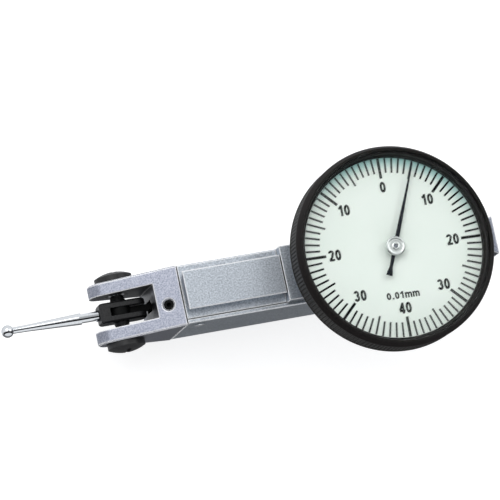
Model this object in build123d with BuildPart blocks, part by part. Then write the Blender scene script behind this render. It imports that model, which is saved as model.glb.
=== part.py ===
from build123d import *
import math
import os

os.makedirs("parts", exist_ok=True)

# Dial test indicator, lever type, in millimetres.
# The origin lies where the pointer's axis meets the face of the back dovetail.
# +X runs from the stylus towards the rear end, +Z rises from the back dovetail to the dial.

# Dovetail rails, the same on the front, the back and the rear end
dovetail_width = 6.3
dovetail_height = 2.0
dovetail_angle = 60.0
rail_edge_break = 0.15

# Body
body_depth = 14.0
body_width = 8.76
body_front = -32.6
body_rear_gap = 0.65
shoulder_lead = 0.3
edge_break = 0.2
cover_thickness = 0.6
wall = 1.0
seat_ledge = 0.4
side_wall = 1.18
front_wall = 2.8
rear_wall = 4.0
rail_end_gap = 0.2
back_rail_rear_inset = 2.0
pocket_corner_radius = 0.8
pillar_radius = 0.9

# Dial group, heights above the front dovetail face
dial_rise = 7.1
dial_thickness = 0.3
case_wall = 1.1
case_floor = 0.8
case_height = 6.15
bezel_radius = 16.0
bezel_skirt_drop = 3.3
bezel_side_rise = 1.1
bezel_lip_rise = 2.4
bezel_rim_width = 1.55
bezel_lip_height = 0.35
bezel_mouth_flare = 0.15
bezel_crest_width = 0.3
bezel_ledge_width = 0.65
knurl_count = 96
knurl_depth = 0.16
knurl_margin = 0.35
crystal_thickness = 0.6
crystal_seat_depth = 0.55
crystal_seat_width = 0.3
seal_thickness = 0.3
ring_section = 0.7
ring_rise = 0.9
ring_gap_angle = 24.0

# Measuring lever, stylus and fork
axis_rise = 7.0
pivot_lead = 8.85
stylus_reach = 18.2
ball_radius = 1.0
shank_tip_radius = 0.5
shank_root_radius = 0.92
shank_neck_length = 3.2
shank_neck_radius = 0.56
shank_taper_end = 0.4
shank_spigot_radius = 0.69
shank_pin_radius = 0.3
shank_flat_length = 2.4
shank_flat_width = 1.3
shank_flat_gap = 0.5
fork_gap = 5.45
fork_tip_reach = 4.42
slot_back_reach = 4.85
nose_radius = 2.6
head_overhang = 0.12
set_screw_lead = 2.3
set_screw_offset = 1.05
set_screw_sink = 0.25
pivot_head_radius = 3.0
pivot_head_height = 1.65
pivot_shank_radius = 1.9
pivot_head_side = 0.9
pivot_slot_width = 0.6
pivot_slot_depth = 0.55
pivot_slot_length = 3.6
bearing_outer_radius = 1.3
bearing_width = 0.8
axle_radius = 0.5
axle_relief_radius = 0.75
axle_relief_depth = 0.4
axle_edge_break = 0.1
holder_front_reach = 3.45
holder_rear_reach = 4.15
holder_width = 3.2
holder_height = 3.6
holder_rear_rounding = 1.5
holder_front_break = 0.5
holder_edge_break = 0.25
boss_tip_radius = 0.98
clutch_slot = 1.3
clutch_hub_radius = 1.7
clutch_washer_thickness = 0.13
lever_thickness = 1.0
lever_height = 1.4
lever_end_height = 1.12
lever_eye_radius = 0.9
drive_pin_radius = 0.4
spigot_width = 5.2
spigot_height = 5.6
spigot_length = 1.8
lever_bore_width = 1.8
lever_bore_height = 3.2

# Gear train
gear_module = 0.2
gear_backlash = 0.04
pinion_teeth = 10
tooth_root_share = 1.28
tooth_tip_share = 0.5
dedendum_share = 1.25
crown_tooth_angle = 16.0
crown_teeth = 30
drive_pin_inset = 1.41
sector_tooth_count = 8
sector_hub_radius = 1.4
sector_root_radius = 1.26
sector_rim = 1.6
sector_arm_width = 0.9
sector_arm_spread = 0.55
tail_half_width = 1.0
tail_slot_play = 0.5
crown_thickness = 0.6
crown_face = 0.6
scale_span = 0.8
arbor_radius = 0.4
shaft_pivot_radius = 0.3
sector_shaft_radius = 0.5
jewel_radius = 0.8
jewel_thickness = 0.6
cock_lift = 0.8
cock_rim = 0.25
cock_thickness = 0.7
cock_screw_grip = 0.9
plate_thickness = 0.8
plate_screw_inset = 0.55
plate_window_margin = 3.75
plate_window_height = 3.2
sector_gap = 0.3
crown_gap = 0.35

# Pointer, hub and hairspring
pointer_tip_gap = 0.6
pointer_tip_half_width = 0.1
pointer_blade_half_width = 0.2
pointer_blade_reach = 8.0
pointer_root_half_width = 0.33
pointer_tail = 4.8
pointer_tail_neck = 3.2
pointer_tail_neck_half_width = 0.26
pointer_tail_half_width = 0.5
pointer_thickness = 0.12
pointer_rest_angle = 24.0
pointer_rise = 0.75
hub_radius = 1.55
hub_height = 0.5
hub_spigot_radius = 0.7
hub_spigot_drop = 0.25
hub_edge_break = 0.12
arbor_recess = 0.15
pointer_eye_radius = 1.1
dial_hole_radius = 0.9
spring_pitch = 0.8
spring_half_turn_count = 8
spring_strip = 0.12
spring_width = 0.5
collet_radius = 1.1
collet_height = 1.0
collet_rise = 1.6
stud_radius = 0.35

# Clearances and screws
running_clearance = 0.02
bezel_clearance = 0.08
seat_clearance = 0.02
part_clearance = 0.1
screw_radius = 0.5
screw_head_radius = 0.85
screw_head_height = 0.45
screw_length = 2.0
screw_slot_width = 0.25
screw_slot_share = 0.6
cover_screw_head_height = 0.27
cover_screw_front_inset = 2.3
cover_screw_rear_inset = 1.8
cover_screw_edge_inset = 2.4
plate_screw_front_inset = 7.0
plate_screw_middle = -9.5
plate_screw_rear_inset = 1.6
case_screw_front_inset = 4.85
case_screw_rear_inset = 5.35
case_screw_side = 2.6
rear_screw_inset = 3.4
jewel_relief = 1.5
shaft_end_relief = 0.2
set_screw_radius = 0.8
set_screw_length = 2.3
set_screw_socket_radius = 0.4
set_screw_socket_depth = 1.0
rear_plate_thickness = 1.4
rear_plate_rise = 2.4

# Values that follow from the ones above
back_floor = dovetail_height
front_floor = back_floor + body_depth
front_face = front_floor + dovetail_height
dial_level = front_face + dial_rise
axis_level = back_floor + axis_rise
pivot_x = body_front - pivot_lead
pocket_front = body_front + front_wall
pocket_ceiling = front_floor - wall
bezel_window_radius = bezel_radius - bezel_rim_width
dial_radius = bezel_window_radius - part_clearance
case_radius = bezel_window_radius - part_clearance
body_rear = case_radius + body_rear_gap
pocket_rear = body_rear - rear_wall
back_rail_rear = body_rear - back_rail_rear_inset
case_screw_front = case_screw_front_inset - case_radius
case_screw_rear = case_radius - case_screw_rear_inset
shoulder_front = -bezel_radius - shoulder_lead
half_body = body_width / 2
cover_outside = -half_body - cover_thickness
undercut = dovetail_height / math.tan(math.radians(dovetail_angle))
fork_middle = (half_body + cover_outside) / 2
ear_upper_outside = half_body + head_overhang
ear_lower_outside = cover_outside - head_overhang
ear_upper_inside = fork_middle + fork_gap / 2
ear_lower_inside = fork_middle - fork_gap / 2
slot_back = pivot_x + slot_back_reach
pinion_radius = gear_module * pinion_teeth / 2
crown_radius = gear_module * crown_teeth / 2
train_ratio = 2 * math.pi * stylus_reach / scale_span
lever_arm = pivot_lead + front_wall + drive_pin_inset
tail_share = lever_arm * crown_radius / (train_ratio * pinion_radius**2)
sector_room = -(pocket_front + drive_pin_inset + pinion_radius) / (1 + tail_share)
sector_teeth = round(2 * sector_room / gear_module)
sector_radius = gear_module * sector_teeth / 2
sector_x = -(sector_radius + pinion_radius)
last_stage_ratio = sector_radius / pinion_radius * crown_radius / pinion_radius
arm_ratio = train_ratio / last_stage_ratio
tail_reach = (sector_x - pivot_x) / (1 + arm_ratio)
drive_reach = sector_x - pivot_x - tail_reach
drive_x = pivot_x + drive_reach
plate_outside = -half_body + part_clearance
plate_inside = plate_outside + plate_thickness
crown_root = running_clearance - pinion_radius - dedendum_share * gear_module
crown_back = crown_root - crown_thickness
sector_high = crown_back - crown_gap
sector_low = plate_inside + sector_gap
sector_thickness = sector_high - sector_low
pocket_wall = half_body - side_wall
mesh_level = axis_level + crown_radius
spring_level = front_face + collet_rise


def side_plane(y):
    """A plane across Y whose sketch axes are X and Z; extrusions leave it towards -Y."""
    return Plane.XZ.offset(-y)


def side_plane_at(x, y):
    """The same plane with its sketch origin on a shaft's axis."""
    return Plane(origin=(x, y, axis_level), x_dir=(1, 0, 0), z_dir=(0, -1, 0))


def polar(radius, angle):
    return (radius * math.cos(angle), radius * math.sin(angle))


def gear_outline(teeth, first_angle, pitch_radius, tip_radius, root_radius, count=None):
    """Points of a toothed rim: each tooth has a straight flank between root, pitch and tip."""
    pitch_angle = 2 * math.pi / teeth
    half_tooth = gear_module * math.pi / 4 - gear_backlash / 2
    shape = [
        (root_radius, half_tooth * tooth_root_share),
        (pitch_radius, half_tooth),
        (tip_radius, half_tooth * tooth_tip_share),
    ]
    points = []
    for number in range(count or teeth):
        middle = first_angle + number * pitch_angle
        for radius, half in shape:
            points.append((radius, middle - half / radius))
        for radius, half in reversed(shape):
            points.append((radius, middle + half / radius))
    return [polar(radius, angle) for radius, angle in points]


def pinion_outline(first_angle):
    """Outline of either pinion, with the middle of one tooth at the given angle."""
    tip_radius = pinion_radius + gear_module
    root_radius = pinion_radius - dedendum_share * gear_module
    return gear_outline(pinion_teeth, first_angle, pinion_radius, tip_radius, root_radius)


def slotted_screw(place, head_radius, head_height, shank_radius, shank_length):
    """A cheese-head screw whose head stands on the plane and whose shank goes in behind it."""
    with BuildSketch(place) as slotted:
        Circle(head_radius)
        Rectangle(head_radius * 3, screw_slot_width, mode=Mode.SUBTRACT)
    with BuildSketch(place) as head:
        Circle(head_radius)
    with BuildSketch(place) as shank:
        Circle(shank_radius)
    extrude(slotted.sketch, amount=head_height)
    extrude(head.sketch, amount=head_height * (1 - screw_slot_share))
    extrude(shank.sketch, amount=-shank_length)


def bore(place, radius, depth):
    """A round hole that enters the part behind the plane."""
    with BuildSketch(place) as hole:
        Circle(radius)
    extrude(hole.sketch, amount=-depth, mode=Mode.SUBTRACT)


def ring(place, outer_radius, inner_radius, thickness):
    """A flat ring that stands on the plane."""
    with BuildSketch(place) as annulus:
        Circle(outer_radius)
        Circle(inner_radius, mode=Mode.SUBTRACT)
    extrude(annulus.sketch, amount=thickness)


def facing(point, direction, across=(1, 0, 0)):
    """A plane at a point, facing a direction."""
    return Plane(origin=point, x_dir=across, z_dir=direction)


def edges_at(plane, radius):
    """The round edges of a given radius that lie on a plane."""
    context = BuildPart._get_context()
    near = [e for e in context.edges().filter_by(GeomType.CIRCLE) if abs(e.radius - radius) < 1e-6]
    return [e for e in near if abs(plane.to_local_coords(e.center()).Z) < 1e-6]


def save(builder, name):
    builder.part.label = name
    export_step(builder.part, f"parts/{name}.step")


def dovetail_points(root_level, face_level):
    """Corners of a dovetail's cross-section, wider at its face than at its root."""
    half_face = dovetail_width / 2
    half_root = half_face - undercut
    return [
        (-half_root, root_level),
        (-half_face, face_level),
        (half_face, face_level),
        (half_root, root_level),
    ]


# Where the screws, jewels and pins sit
arbor_foot = axis_level + arbor_radius + cock_lift
cock_top = arbor_foot + jewel_thickness
cock_foot_top = pocket_ceiling - part_clearance
cock_screw_level = (cock_top + cock_foot_top) / 2
cover_screw_points = [
    (body_front + cover_screw_front_inset, front_floor - cover_screw_edge_inset),
    (body_rear - cover_screw_rear_inset, front_floor - cover_screw_edge_inset),
    (body_rear - cover_screw_rear_inset, back_floor + cover_screw_edge_inset),
]
plate_screw_points = [
    (pocket_front + plate_screw_front_inset, front_floor - wall - plate_screw_inset),
    (plate_screw_middle, back_floor + wall + plate_screw_inset),
    (pocket_rear - plate_screw_rear_inset, front_floor - wall - plate_screw_inset),
]
case_screw_points = [
    (case_screw_front, 0),
    (case_screw_rear, case_screw_side),
    (case_screw_rear, -case_screw_side),
]
rear_screw_levels = (back_floor + rear_screw_inset, front_floor - rear_screw_inset)
side_jewel_points = [(sector_x, axis_level), (0, axis_level)]

# Body housing: the box with its three seats and the pocket for the movement
with BuildPart() as body_housing:
    with BuildSketch(Plane.YZ.offset(body_front)) as body_section:
        with Locations((0, back_floor + body_depth / 2)):
            Rectangle(body_width, body_depth)
        chamfer(body_section.vertices().group_by(Axis.Y)[-1], edge_break)
    extrude(amount=body_rear - body_front)
    with BuildSketch(Plane.XY.offset(front_floor)):
        with Locations(((shoulder_front + body_rear) / 2, 0)):
            Rectangle(body_rear - shoulder_front, body_width)
    extrude(amount=dovetail_height)
    with BuildSketch(Plane.YZ.offset(body_front + rail_end_gap)) as front_rail:
        with BuildLine():
            Polyline(*dovetail_points(front_floor, front_face), close=True)
        make_face()
        chamfer(front_rail.vertices().group_by(Axis.Y)[-1], rail_edge_break)
    extrude(amount=shoulder_front - body_front - 2 * rail_end_gap)
    with BuildSketch(Plane.YZ.offset(body_front + rail_end_gap)) as back_rail:
        with BuildLine():
            Polyline(*dovetail_points(back_floor, 0), close=True)
        make_face()
        chamfer(back_rail.vertices().group_by(Axis.Y)[0], rail_edge_break)
    extrude(amount=back_rail_rear - body_front - rail_end_gap)
    # Pocket for the movement, open on the cover side, with a ledge for the movement plate
    pocket_middle = (pocket_front + pocket_rear) / 2
    pocket_length = pocket_rear - pocket_front
    with BuildSketch(side_plane(pocket_wall)) as pocket_outline:
        with Locations((pocket_middle, back_floor + body_depth / 2)):
            Rectangle(pocket_length, body_depth - 2 * wall)
        fillet(pocket_outline.vertices(), pocket_corner_radius)
    extrude(amount=pocket_wall + half_body, mode=Mode.SUBTRACT)
    with BuildSketch(side_plane(plate_inside)):
        with Locations((pocket_middle + seat_ledge / 2, back_floor + body_depth / 2)):
            Rectangle(pocket_length + seat_ledge, body_depth - 2 * wall + 2 * seat_ledge)
    extrude(amount=plate_inside + half_body, mode=Mode.SUBTRACT)
    # Pillars that carry the movement plate's screws
    with BuildSketch(side_plane(pocket_wall)):
        with Locations(*plate_screw_points):
            Circle(pillar_radius)
    extrude(amount=pocket_wall - plate_inside)
    for x, z in plate_screw_points:
        bore(facing((x, plate_inside, z), (0, -1, 0)), screw_radius, screw_length - plate_thickness)
    for x, z in cover_screw_points:
        bore(facing((x, -half_body, z), (0, -1, 0)), screw_radius, screw_length - cover_thickness)
    # Window for the fork head's spigot and the lever
    with BuildSketch(Plane.YZ.offset(body_front)):
        with Locations((fork_middle, axis_level)):
            Rectangle(spigot_width + 2 * seat_clearance, spigot_height + 2 * seat_clearance)
    extrude(amount=spigot_length + seat_clearance, mode=Mode.SUBTRACT)
    with BuildSketch(Plane.YZ.offset(body_front)):
        with Locations((fork_middle, axis_level)):
            Rectangle(lever_bore_width, lever_bore_height)
    extrude(amount=pocket_front - body_front, mode=Mode.SUBTRACT)
    # Jewel seats and holes for the shafts
    for x, z in side_jewel_points:
        bore(facing((x, pocket_wall, z), (0, -1, 0)), jewel_radius, jewel_thickness)
        hole_depth = jewel_thickness + shaft_end_relief
        bore(facing((x, pocket_wall, z), (0, -1, 0)), shaft_pivot_radius * jewel_relief, hole_depth)
    bore(Plane.XY.offset(front_face), jewel_radius, jewel_thickness)
    bore(Plane.XY.offset(front_face), arbor_radius * jewel_relief, front_face - front_floor + wall)
    # Tapped holes for the dial case, the rear dovetail and the pointer cock
    for x, y in case_screw_points:
        bore(facing((x, y, front_face), (0, 0, 1)), screw_radius, screw_length)
    for level in rear_screw_levels:
        bore(facing((body_rear, 0, level), (1, 0, 0), (0, 1, 0)), screw_radius, screw_length)
    bore(facing((0, pocket_wall, cock_screw_level), (0, -1, 0)), screw_radius, cock_screw_grip)
save(body_housing, "body_housing")

# Side cover that closes the pocket
with BuildPart() as side_cover:
    with BuildSketch(side_plane(-half_body)) as cover_outline:
        with Locations(((body_front + body_rear) / 2, back_floor + body_depth / 2)):
            Rectangle(body_rear - body_front - 2 * seat_clearance, body_depth)
    extrude(amount=cover_thickness)
    chamfer(side_cover.faces().sort_by(Axis.Y)[0].edges(), edge_break / 2)
    for x, z in cover_screw_points:
        bore(facing((x, cover_outside, z), (0, -1, 0)), screw_radius + seat_clearance, cover_thickness)
save(side_cover, "side_cover")

with BuildPart() as side_cover_screws:
    for x, z in cover_screw_points:
        place = facing((x, cover_outside, z), (0, -1, 0))
        slotted_screw(place, screw_head_radius, cover_screw_head_height, screw_radius, screw_length)
save(side_cover_screws, "side_cover_screws")

# Movement plate: carries the outer ends of the sector shaft and the crown arbor
with BuildPart() as movement_plate:
    with BuildSketch(side_plane(plate_inside)):
        with Locations((pocket_middle + seat_ledge / 2, back_floor + body_depth / 2)):
            Rectangle(
                pocket_length + seat_ledge - 2 * seat_clearance,
                body_depth - 2 * wall + 2 * seat_ledge - 2 * seat_clearance,
            )
        with Locations((sector_x / 2, axis_level)):
            SlotOverall(-sector_x - 2 * plate_window_margin, plate_window_height, mode=Mode.SUBTRACT)
    extrude(amount=plate_thickness)
    for x, z in side_jewel_points:
        bore(facing((x, plate_inside, z), (0, 1, 0)), jewel_radius, jewel_thickness)
        bore(facing((x, plate_inside, z), (0, 1, 0)), shaft_pivot_radius * jewel_relief, plate_thickness)
    for x, z in plate_screw_points:
        bore(facing((x, plate_outside, z), (0, -1, 0)), screw_radius + seat_clearance, plate_thickness)
        bore(facing((x, plate_outside, z), (0, -1, 0)), screw_head_radius + seat_clearance, screw_head_height)
save(movement_plate, "movement_plate")

with BuildPart() as movement_plate_screws:
    for x, z in plate_screw_points:
        place = facing((x, plate_outside + screw_head_height, z), (0, -1, 0))
        slotted_screw(
            place, screw_head_radius, screw_head_height, screw_radius, screw_length - screw_head_height
        )
save(movement_plate_screws, "movement_plate_screws")

# Fork head: tapered nose with two ears that carry the pivot screws
nose_x = pivot_x - fork_tip_reach + nose_radius
head_top = (body_front, front_floor)
head_foot = (body_front, back_floor)


def nose_touch(corner, side):
    """Angle on the nose's circle where the straight line from a corner touches it."""
    across = corner[0] - nose_x
    up = corner[1] - axis_level
    return math.degrees(math.atan2(up, across) + side * math.acos(nose_radius / math.hypot(across, up)))


nose_top_angle = nose_touch(head_top, 1)
nose_foot_angle = nose_touch(head_foot, -1)
head_slope = -1 / math.tan(math.radians(nose_top_angle))
with BuildPart() as fork_head:
    with BuildSketch(side_plane(ear_upper_outside)):
        with BuildLine():
            nose = CenterArc(
                (nose_x, axis_level), nose_radius, nose_top_angle, 360 + nose_foot_angle - nose_top_angle
            )
            Polyline(nose @ 0, head_top, head_foot, nose @ 1)
        make_face()
    extrude(amount=ear_upper_outside - ear_lower_outside)
    chamfer(fork_head.faces().sort_by(Axis.Y)[-1].edges(), edge_break)
    chamfer(fork_head.faces().sort_by(Axis.Y)[0].edges(), edge_break)
    chamfer(fork_head.faces().sort_by(Axis.X)[-1].edges(), edge_break)
    with BuildSketch(Plane.YZ.offset(body_front)):
        with Locations((fork_middle, axis_level)):
            Rectangle(spigot_width, spigot_height)
    extrude(amount=spigot_length)
    with BuildSketch(side_plane(ear_upper_inside)):
        with Locations((slot_back, axis_level)):
            Rectangle(fork_tip_reach * 4, body_depth * 2, align=(Align.MAX, Align.CENTER))
    extrude(amount=fork_gap, mode=Mode.SUBTRACT)
    with BuildSketch(Plane.YZ.offset(slot_back)):
        with Locations((fork_middle, axis_level)):
            Rectangle(lever_bore_width, lever_bore_height)
    extrude(amount=body_front + spigot_length - slot_back, mode=Mode.SUBTRACT)
    pivot_hole = facing((pivot_x, ear_upper_outside, axis_level), (0, 1, 0))
    bore(pivot_hole, pivot_shank_radius, ear_upper_outside - ear_lower_outside)
    # Tapped hole square to the sloping face, with a countersunk mouth
    set_screw_mouth = (
        body_front - set_screw_lead,
        fork_middle - set_screw_offset,
        front_floor - head_slope * set_screw_lead,
    )
    set_screw_place = facing(set_screw_mouth, (-head_slope, 0, 1), (1, 0, head_slope)).offset(-set_screw_sink)
    bore(set_screw_place, set_screw_radius, set_screw_length)
    with BuildSketch(set_screw_place):
        Circle(set_screw_radius)
    extrude(amount=set_screw_sink + part_clearance, taper=-45, mode=Mode.SUBTRACT)
save(fork_head, "fork_head")

with BuildPart() as head_set_screw:
    with BuildSketch(set_screw_place):
        Circle(set_screw_radius)
    extrude(amount=-set_screw_length)
    with BuildSketch(set_screw_place):
        RegularPolygon(set_screw_socket_radius, 6)
    extrude(amount=-set_screw_socket_depth, mode=Mode.SUBTRACT)
save(head_set_screw, "head_set_screw")


def pivot_screw(ear_outside, ear_inside, outward):
    """A domed slotted head outside the ear, a shank through it and a bearing seat inside."""
    outside = facing((pivot_x, ear_outside, axis_level), (0, outward, 0))
    inside = facing((pivot_x, ear_inside, axis_level), (0, -outward, 0))
    far = outside.offset(pivot_head_height)
    dome_height = pivot_head_height - pivot_head_side
    dome_radius = (pivot_head_radius**2 + dome_height**2) / (2 * dome_height)
    with BuildSketch(facing(outside.origin, (0, 0, outward))) as cap:
        with BuildLine():
            Line((0, 0), (pivot_head_radius, 0))
            Line((pivot_head_radius, 0), (pivot_head_radius, pivot_head_side))
            RadiusArc((pivot_head_radius, pivot_head_side), (0, pivot_head_height), -dome_radius)
            Line((0, pivot_head_height), (0, 0))
        make_face()
    revolve(cap.sketch, axis=Axis(outside.origin, (0, 1, 0)))
    with BuildSketch(inside) as shank:
        Circle(pivot_shank_radius)
    extrude(shank.sketch, amount=-abs(ear_outside - ear_inside))
    with BuildSketch(far) as slot:
        Rectangle(pivot_slot_width, pivot_slot_length)
    extrude(slot.sketch, amount=-pivot_slot_depth, mode=Mode.SUBTRACT)
    bore(inside, bearing_outer_radius, bearing_width)
    bore(inside, axle_relief_radius, bearing_width + axle_relief_depth)


with BuildPart() as pivot_screw_upper:
    pivot_screw(ear_upper_outside, ear_upper_inside, 1)
save(pivot_screw_upper, "pivot_screw_upper")

with BuildPart() as pivot_screw_lower:
    pivot_screw(ear_lower_outside, ear_lower_inside, -1)
save(pivot_screw_lower, "pivot_screw_lower")

with BuildPart() as pivot_bearings:
    for inside, outward in ((ear_upper_inside, 1), (ear_lower_inside, -1)):
        place = facing((pivot_x, inside, axis_level), (0, outward, 0))
        ring(place, bearing_outer_radius, axle_radius + running_clearance, bearing_width)
save(pivot_bearings, "pivot_bearings")

# Measuring lever: clutch hub on the axle, arm through the head, eye for the drive pin
lever_top = fork_middle + lever_thickness / 2
with BuildPart() as measuring_lever:
    with BuildSketch(side_plane(lever_top)):
        with BuildLine():
            Polyline(
                (pivot_x, axis_level - lever_height / 2),
                (drive_x, axis_level - lever_end_height / 2),
                (drive_x, axis_level + lever_end_height / 2),
                (pivot_x, axis_level + lever_height / 2),
                close=True,
            )
        make_face()
        with Locations((pivot_x, axis_level)):
            Circle(clutch_hub_radius)
        with Locations((drive_x, axis_level)):
            Circle(lever_eye_radius)
        with Locations((pivot_x, axis_level)):
            Circle(axle_radius, mode=Mode.SUBTRACT)
        with Locations((drive_x, axis_level)):
            Circle(drive_pin_radius, mode=Mode.SUBTRACT)
    extrude(amount=lever_thickness)
save(measuring_lever, "measuring_lever")

with BuildPart() as lever_axle:
    axle_half = fork_gap / 2 + bearing_width + part_clearance
    with BuildSketch(facing((pivot_x, fork_middle + axle_half, axis_level), (0, -1, 0))):
        Circle(axle_radius)
    extrude(amount=2 * axle_half)
    chamfer(lever_axle.edges().filter_by(GeomType.CIRCLE), axle_edge_break)
save(lever_axle, "lever_axle")

with BuildPart() as lever_drive_pin:
    with BuildSketch(facing((drive_x, lever_top, axis_level), (0, -1, 0))):
        Circle(drive_pin_radius)
    extrude(amount=lever_top - sector_low + part_clearance)
save(lever_drive_pin, "lever_drive_pin")

with BuildPart() as clutch_washers:
    for level, outward in ((lever_top, 1), (lever_top - lever_thickness, -1)):
        place = facing((pivot_x, level, axis_level), (0, outward, 0))
        ring(place, clutch_hub_radius, axle_radius + running_clearance, clutch_washer_thickness)
save(clutch_washers, "clutch_washers")

# Stylus holder: clevis on the axle with two tapered bosses and a socket for the stylus
with BuildPart() as stylus_holder:
    with BuildSketch(side_plane(fork_middle + holder_width / 2)) as holder_outline:
        with Locations((pivot_x + (holder_rear_reach - holder_front_reach) / 2, axis_level)):
            Rectangle(holder_front_reach + holder_rear_reach, holder_height)
        fillet(holder_outline.vertices().group_by(Axis.X)[-1], holder_rear_rounding)
        chamfer(holder_outline.vertices().group_by(Axis.X)[0], holder_front_break)
    extrude(amount=holder_width)
    chamfer(stylus_holder.faces().sort_by(Axis.Y)[-1].edges(), holder_edge_break)
    chamfer(stylus_holder.faces().sort_by(Axis.Y)[0].edges(), holder_edge_break)
    for outward in (1, -1):
        foot = facing((pivot_x, fork_middle + outward * holder_width / 2, axis_level), (0, outward, 0))
        boss_height = (fork_gap - holder_width) / 2 - part_clearance
        with BuildSketch(foot):
            Circle(bearing_outer_radius)
        with BuildSketch(foot.offset(boss_height)):
            Circle(boss_tip_radius)
        loft()
    with BuildSketch(side_plane(fork_middle + clutch_slot / 2)):
        with Locations((pivot_x - clutch_hub_radius - part_clearance, axis_level)):
            Rectangle(
                holder_rear_reach * 3, holder_height * 2, align=(Align.MIN, Align.CENTER)
            )
    extrude(amount=clutch_slot, mode=Mode.SUBTRACT)
    bore(
        facing((pivot_x, fork_middle + fork_gap, axis_level), (0, 1, 0)),
        axle_radius + running_clearance,
        2 * fork_gap,
    )
    bore(
        facing((pivot_x - holder_front_reach, fork_middle, axis_level), (-1, 0, 0), (0, 1, 0)),
        shank_spigot_radius,
        holder_front_reach - clutch_hub_radius - part_clearance,
    )
save(stylus_holder, "stylus_holder")

# Stylus: tapered shank with spanner flats, and its contact ball
ball_x = pivot_x - stylus_reach
holder_front = pivot_x - holder_front_reach
flat_start = holder_front - shank_flat_gap - shank_flat_length
with BuildPart() as stylus_shank:
    with BuildSketch(Plane.XY.offset(axis_level)):
        with BuildLine():
            tip = (ball_x + math.sqrt(ball_radius**2 - shank_tip_radius**2), fork_middle)
            Polyline(
                tip,
                (tip[0], fork_middle + shank_tip_radius),
                (ball_x + shank_neck_length, fork_middle + shank_neck_radius),
                (flat_start - shank_taper_end, fork_middle + shank_root_radius),
                (holder_front, fork_middle + shank_root_radius),
                (holder_front, fork_middle),
                close=True,
            )
        make_face()
    revolve(axis=Axis((0, fork_middle, axis_level), (1, 0, 0)))
    with BuildSketch(Plane.YZ.offset(holder_front)):
        with Locations((fork_middle, axis_level)):
            Circle(shank_spigot_radius)
    extrude(amount=holder_front_reach - clutch_hub_radius - 2 * part_clearance)
    with BuildSketch(Plane.YZ.offset(ball_x)):
        with Locations((fork_middle, axis_level)):
            Circle(shank_pin_radius)
    extrude(amount=ball_radius)
    for side in (1, -1):
        with BuildSketch(Plane.XY.offset(axis_level)):
            with Locations((flat_start, fork_middle + side * (shank_flat_width + shank_root_radius) / 2)):
                Rectangle(shank_flat_length, shank_root_radius, align=(Align.MIN, Align.CENTER))
        extrude(amount=2 * shank_root_radius, both=True, mode=Mode.SUBTRACT)
save(stylus_shank, "stylus_shank")

with BuildPart() as stylus_ball:
    with Locations((ball_x, fork_middle, axis_level)):
        Sphere(ball_radius)
    with BuildSketch(Plane.YZ.offset(ball_x)):
        with Locations((fork_middle, axis_level)):
            Circle(shank_pin_radius)
    extrude(amount=ball_radius, mode=Mode.SUBTRACT)
    with BuildSketch(Plane.YZ.offset(tip[0])):
        with Locations((fork_middle, axis_level)):
            Rectangle(ball_radius * 3, ball_radius * 3)
    extrude(amount=ball_radius, mode=Mode.SUBTRACT)
save(stylus_ball, "stylus_ball")

# Sector lever: a tail slot for the drive pin, a hub on its shaft and a toothed rim
with BuildPart() as sector_lever:
    first_tooth = -(sector_tooth_count - 1) * math.pi / sector_teeth
    rim_points = gear_outline(
        sector_teeth,
        first_tooth,
        sector_radius,
        sector_radius + gear_module,
        sector_radius - dedendum_share * gear_module,
        sector_tooth_count,
    )
    rim_inner = sector_radius - sector_rim
    rim_angle = math.atan2(rim_points[-1][1], rim_points[-1][0]) + 0.01
    rim_start = polar(rim_inner, -rim_angle)
    rim_end = polar(rim_inner, rim_angle)
    with BuildSketch(side_plane_at(sector_x, sector_high)):
        with BuildLine():
            Polyline(*rim_points)
            Line(rim_points[-1], rim_end)
            RadiusArc(rim_end, rim_start, rim_inner)
            Line(rim_start, rim_points[0])
        make_face()
        for side in (1, -1):
            arm_end = polar(rim_inner + sector_arm_width / 2, side * rim_angle * sector_arm_spread)
            with BuildLine():
                Polyline(
                    (0, side * sector_root_radius),
                    (arm_end[0], arm_end[1] + side * sector_arm_width / 2),
                    (arm_end[0], arm_end[1] - side * sector_arm_width / 2),
                    (0, side * (sector_root_radius - sector_arm_width)),
                    close=True,
                )
            make_face()
        Circle(sector_hub_radius)
        with BuildLine():
            Polyline(
                (0, -sector_root_radius),
                (-tail_reach - tail_half_width, -tail_half_width),
                (-tail_reach - tail_half_width, tail_half_width),
                (0, sector_root_radius),
                close=True,
            )
        make_face()
        Circle(sector_shaft_radius, mode=Mode.SUBTRACT)
        with Locations((-tail_reach, 0)):
            SlotOverall(
                2 * drive_pin_radius + tail_slot_play,
                2 * (drive_pin_radius + running_clearance),
                mode=Mode.SUBTRACT,
            )
    extrude(amount=sector_thickness)
save(sector_lever, "sector_lever")


def pivoted_shaft(radius, x):
    """A shaft along Y between the side jewels, with a thinner pivot at each end."""
    with BuildSketch(facing((x, pocket_wall - running_clearance, axis_level), (0, -1, 0))) as body:
        Circle(radius)
    extrude(body.sketch, amount=pocket_wall - plate_inside - 2 * running_clearance)
    with BuildSketch(facing((x, pocket_wall + jewel_thickness, axis_level), (0, -1, 0))) as pivots:
        Circle(shaft_pivot_radius)
    extrude(pivots.sketch, amount=pocket_wall - plate_inside + 2 * jewel_thickness)


with BuildPart() as sector_shaft:
    pivoted_shaft(sector_shaft_radius, sector_x)
save(sector_shaft, "sector_shaft")

# Crown arbor: the sector drives its pinion, and it carries the crown gear
with BuildPart() as crown_arbor:
    pivoted_shaft(arbor_radius, 0)
    with BuildSketch(side_plane_at(0, sector_high + part_clearance)):
        with BuildLine():
            Polyline(*pinion_outline(math.pi), close=True)
        make_face()
    extrude(amount=sector_thickness + 2 * part_clearance)
save(crown_arbor, "crown_arbor")

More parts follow.
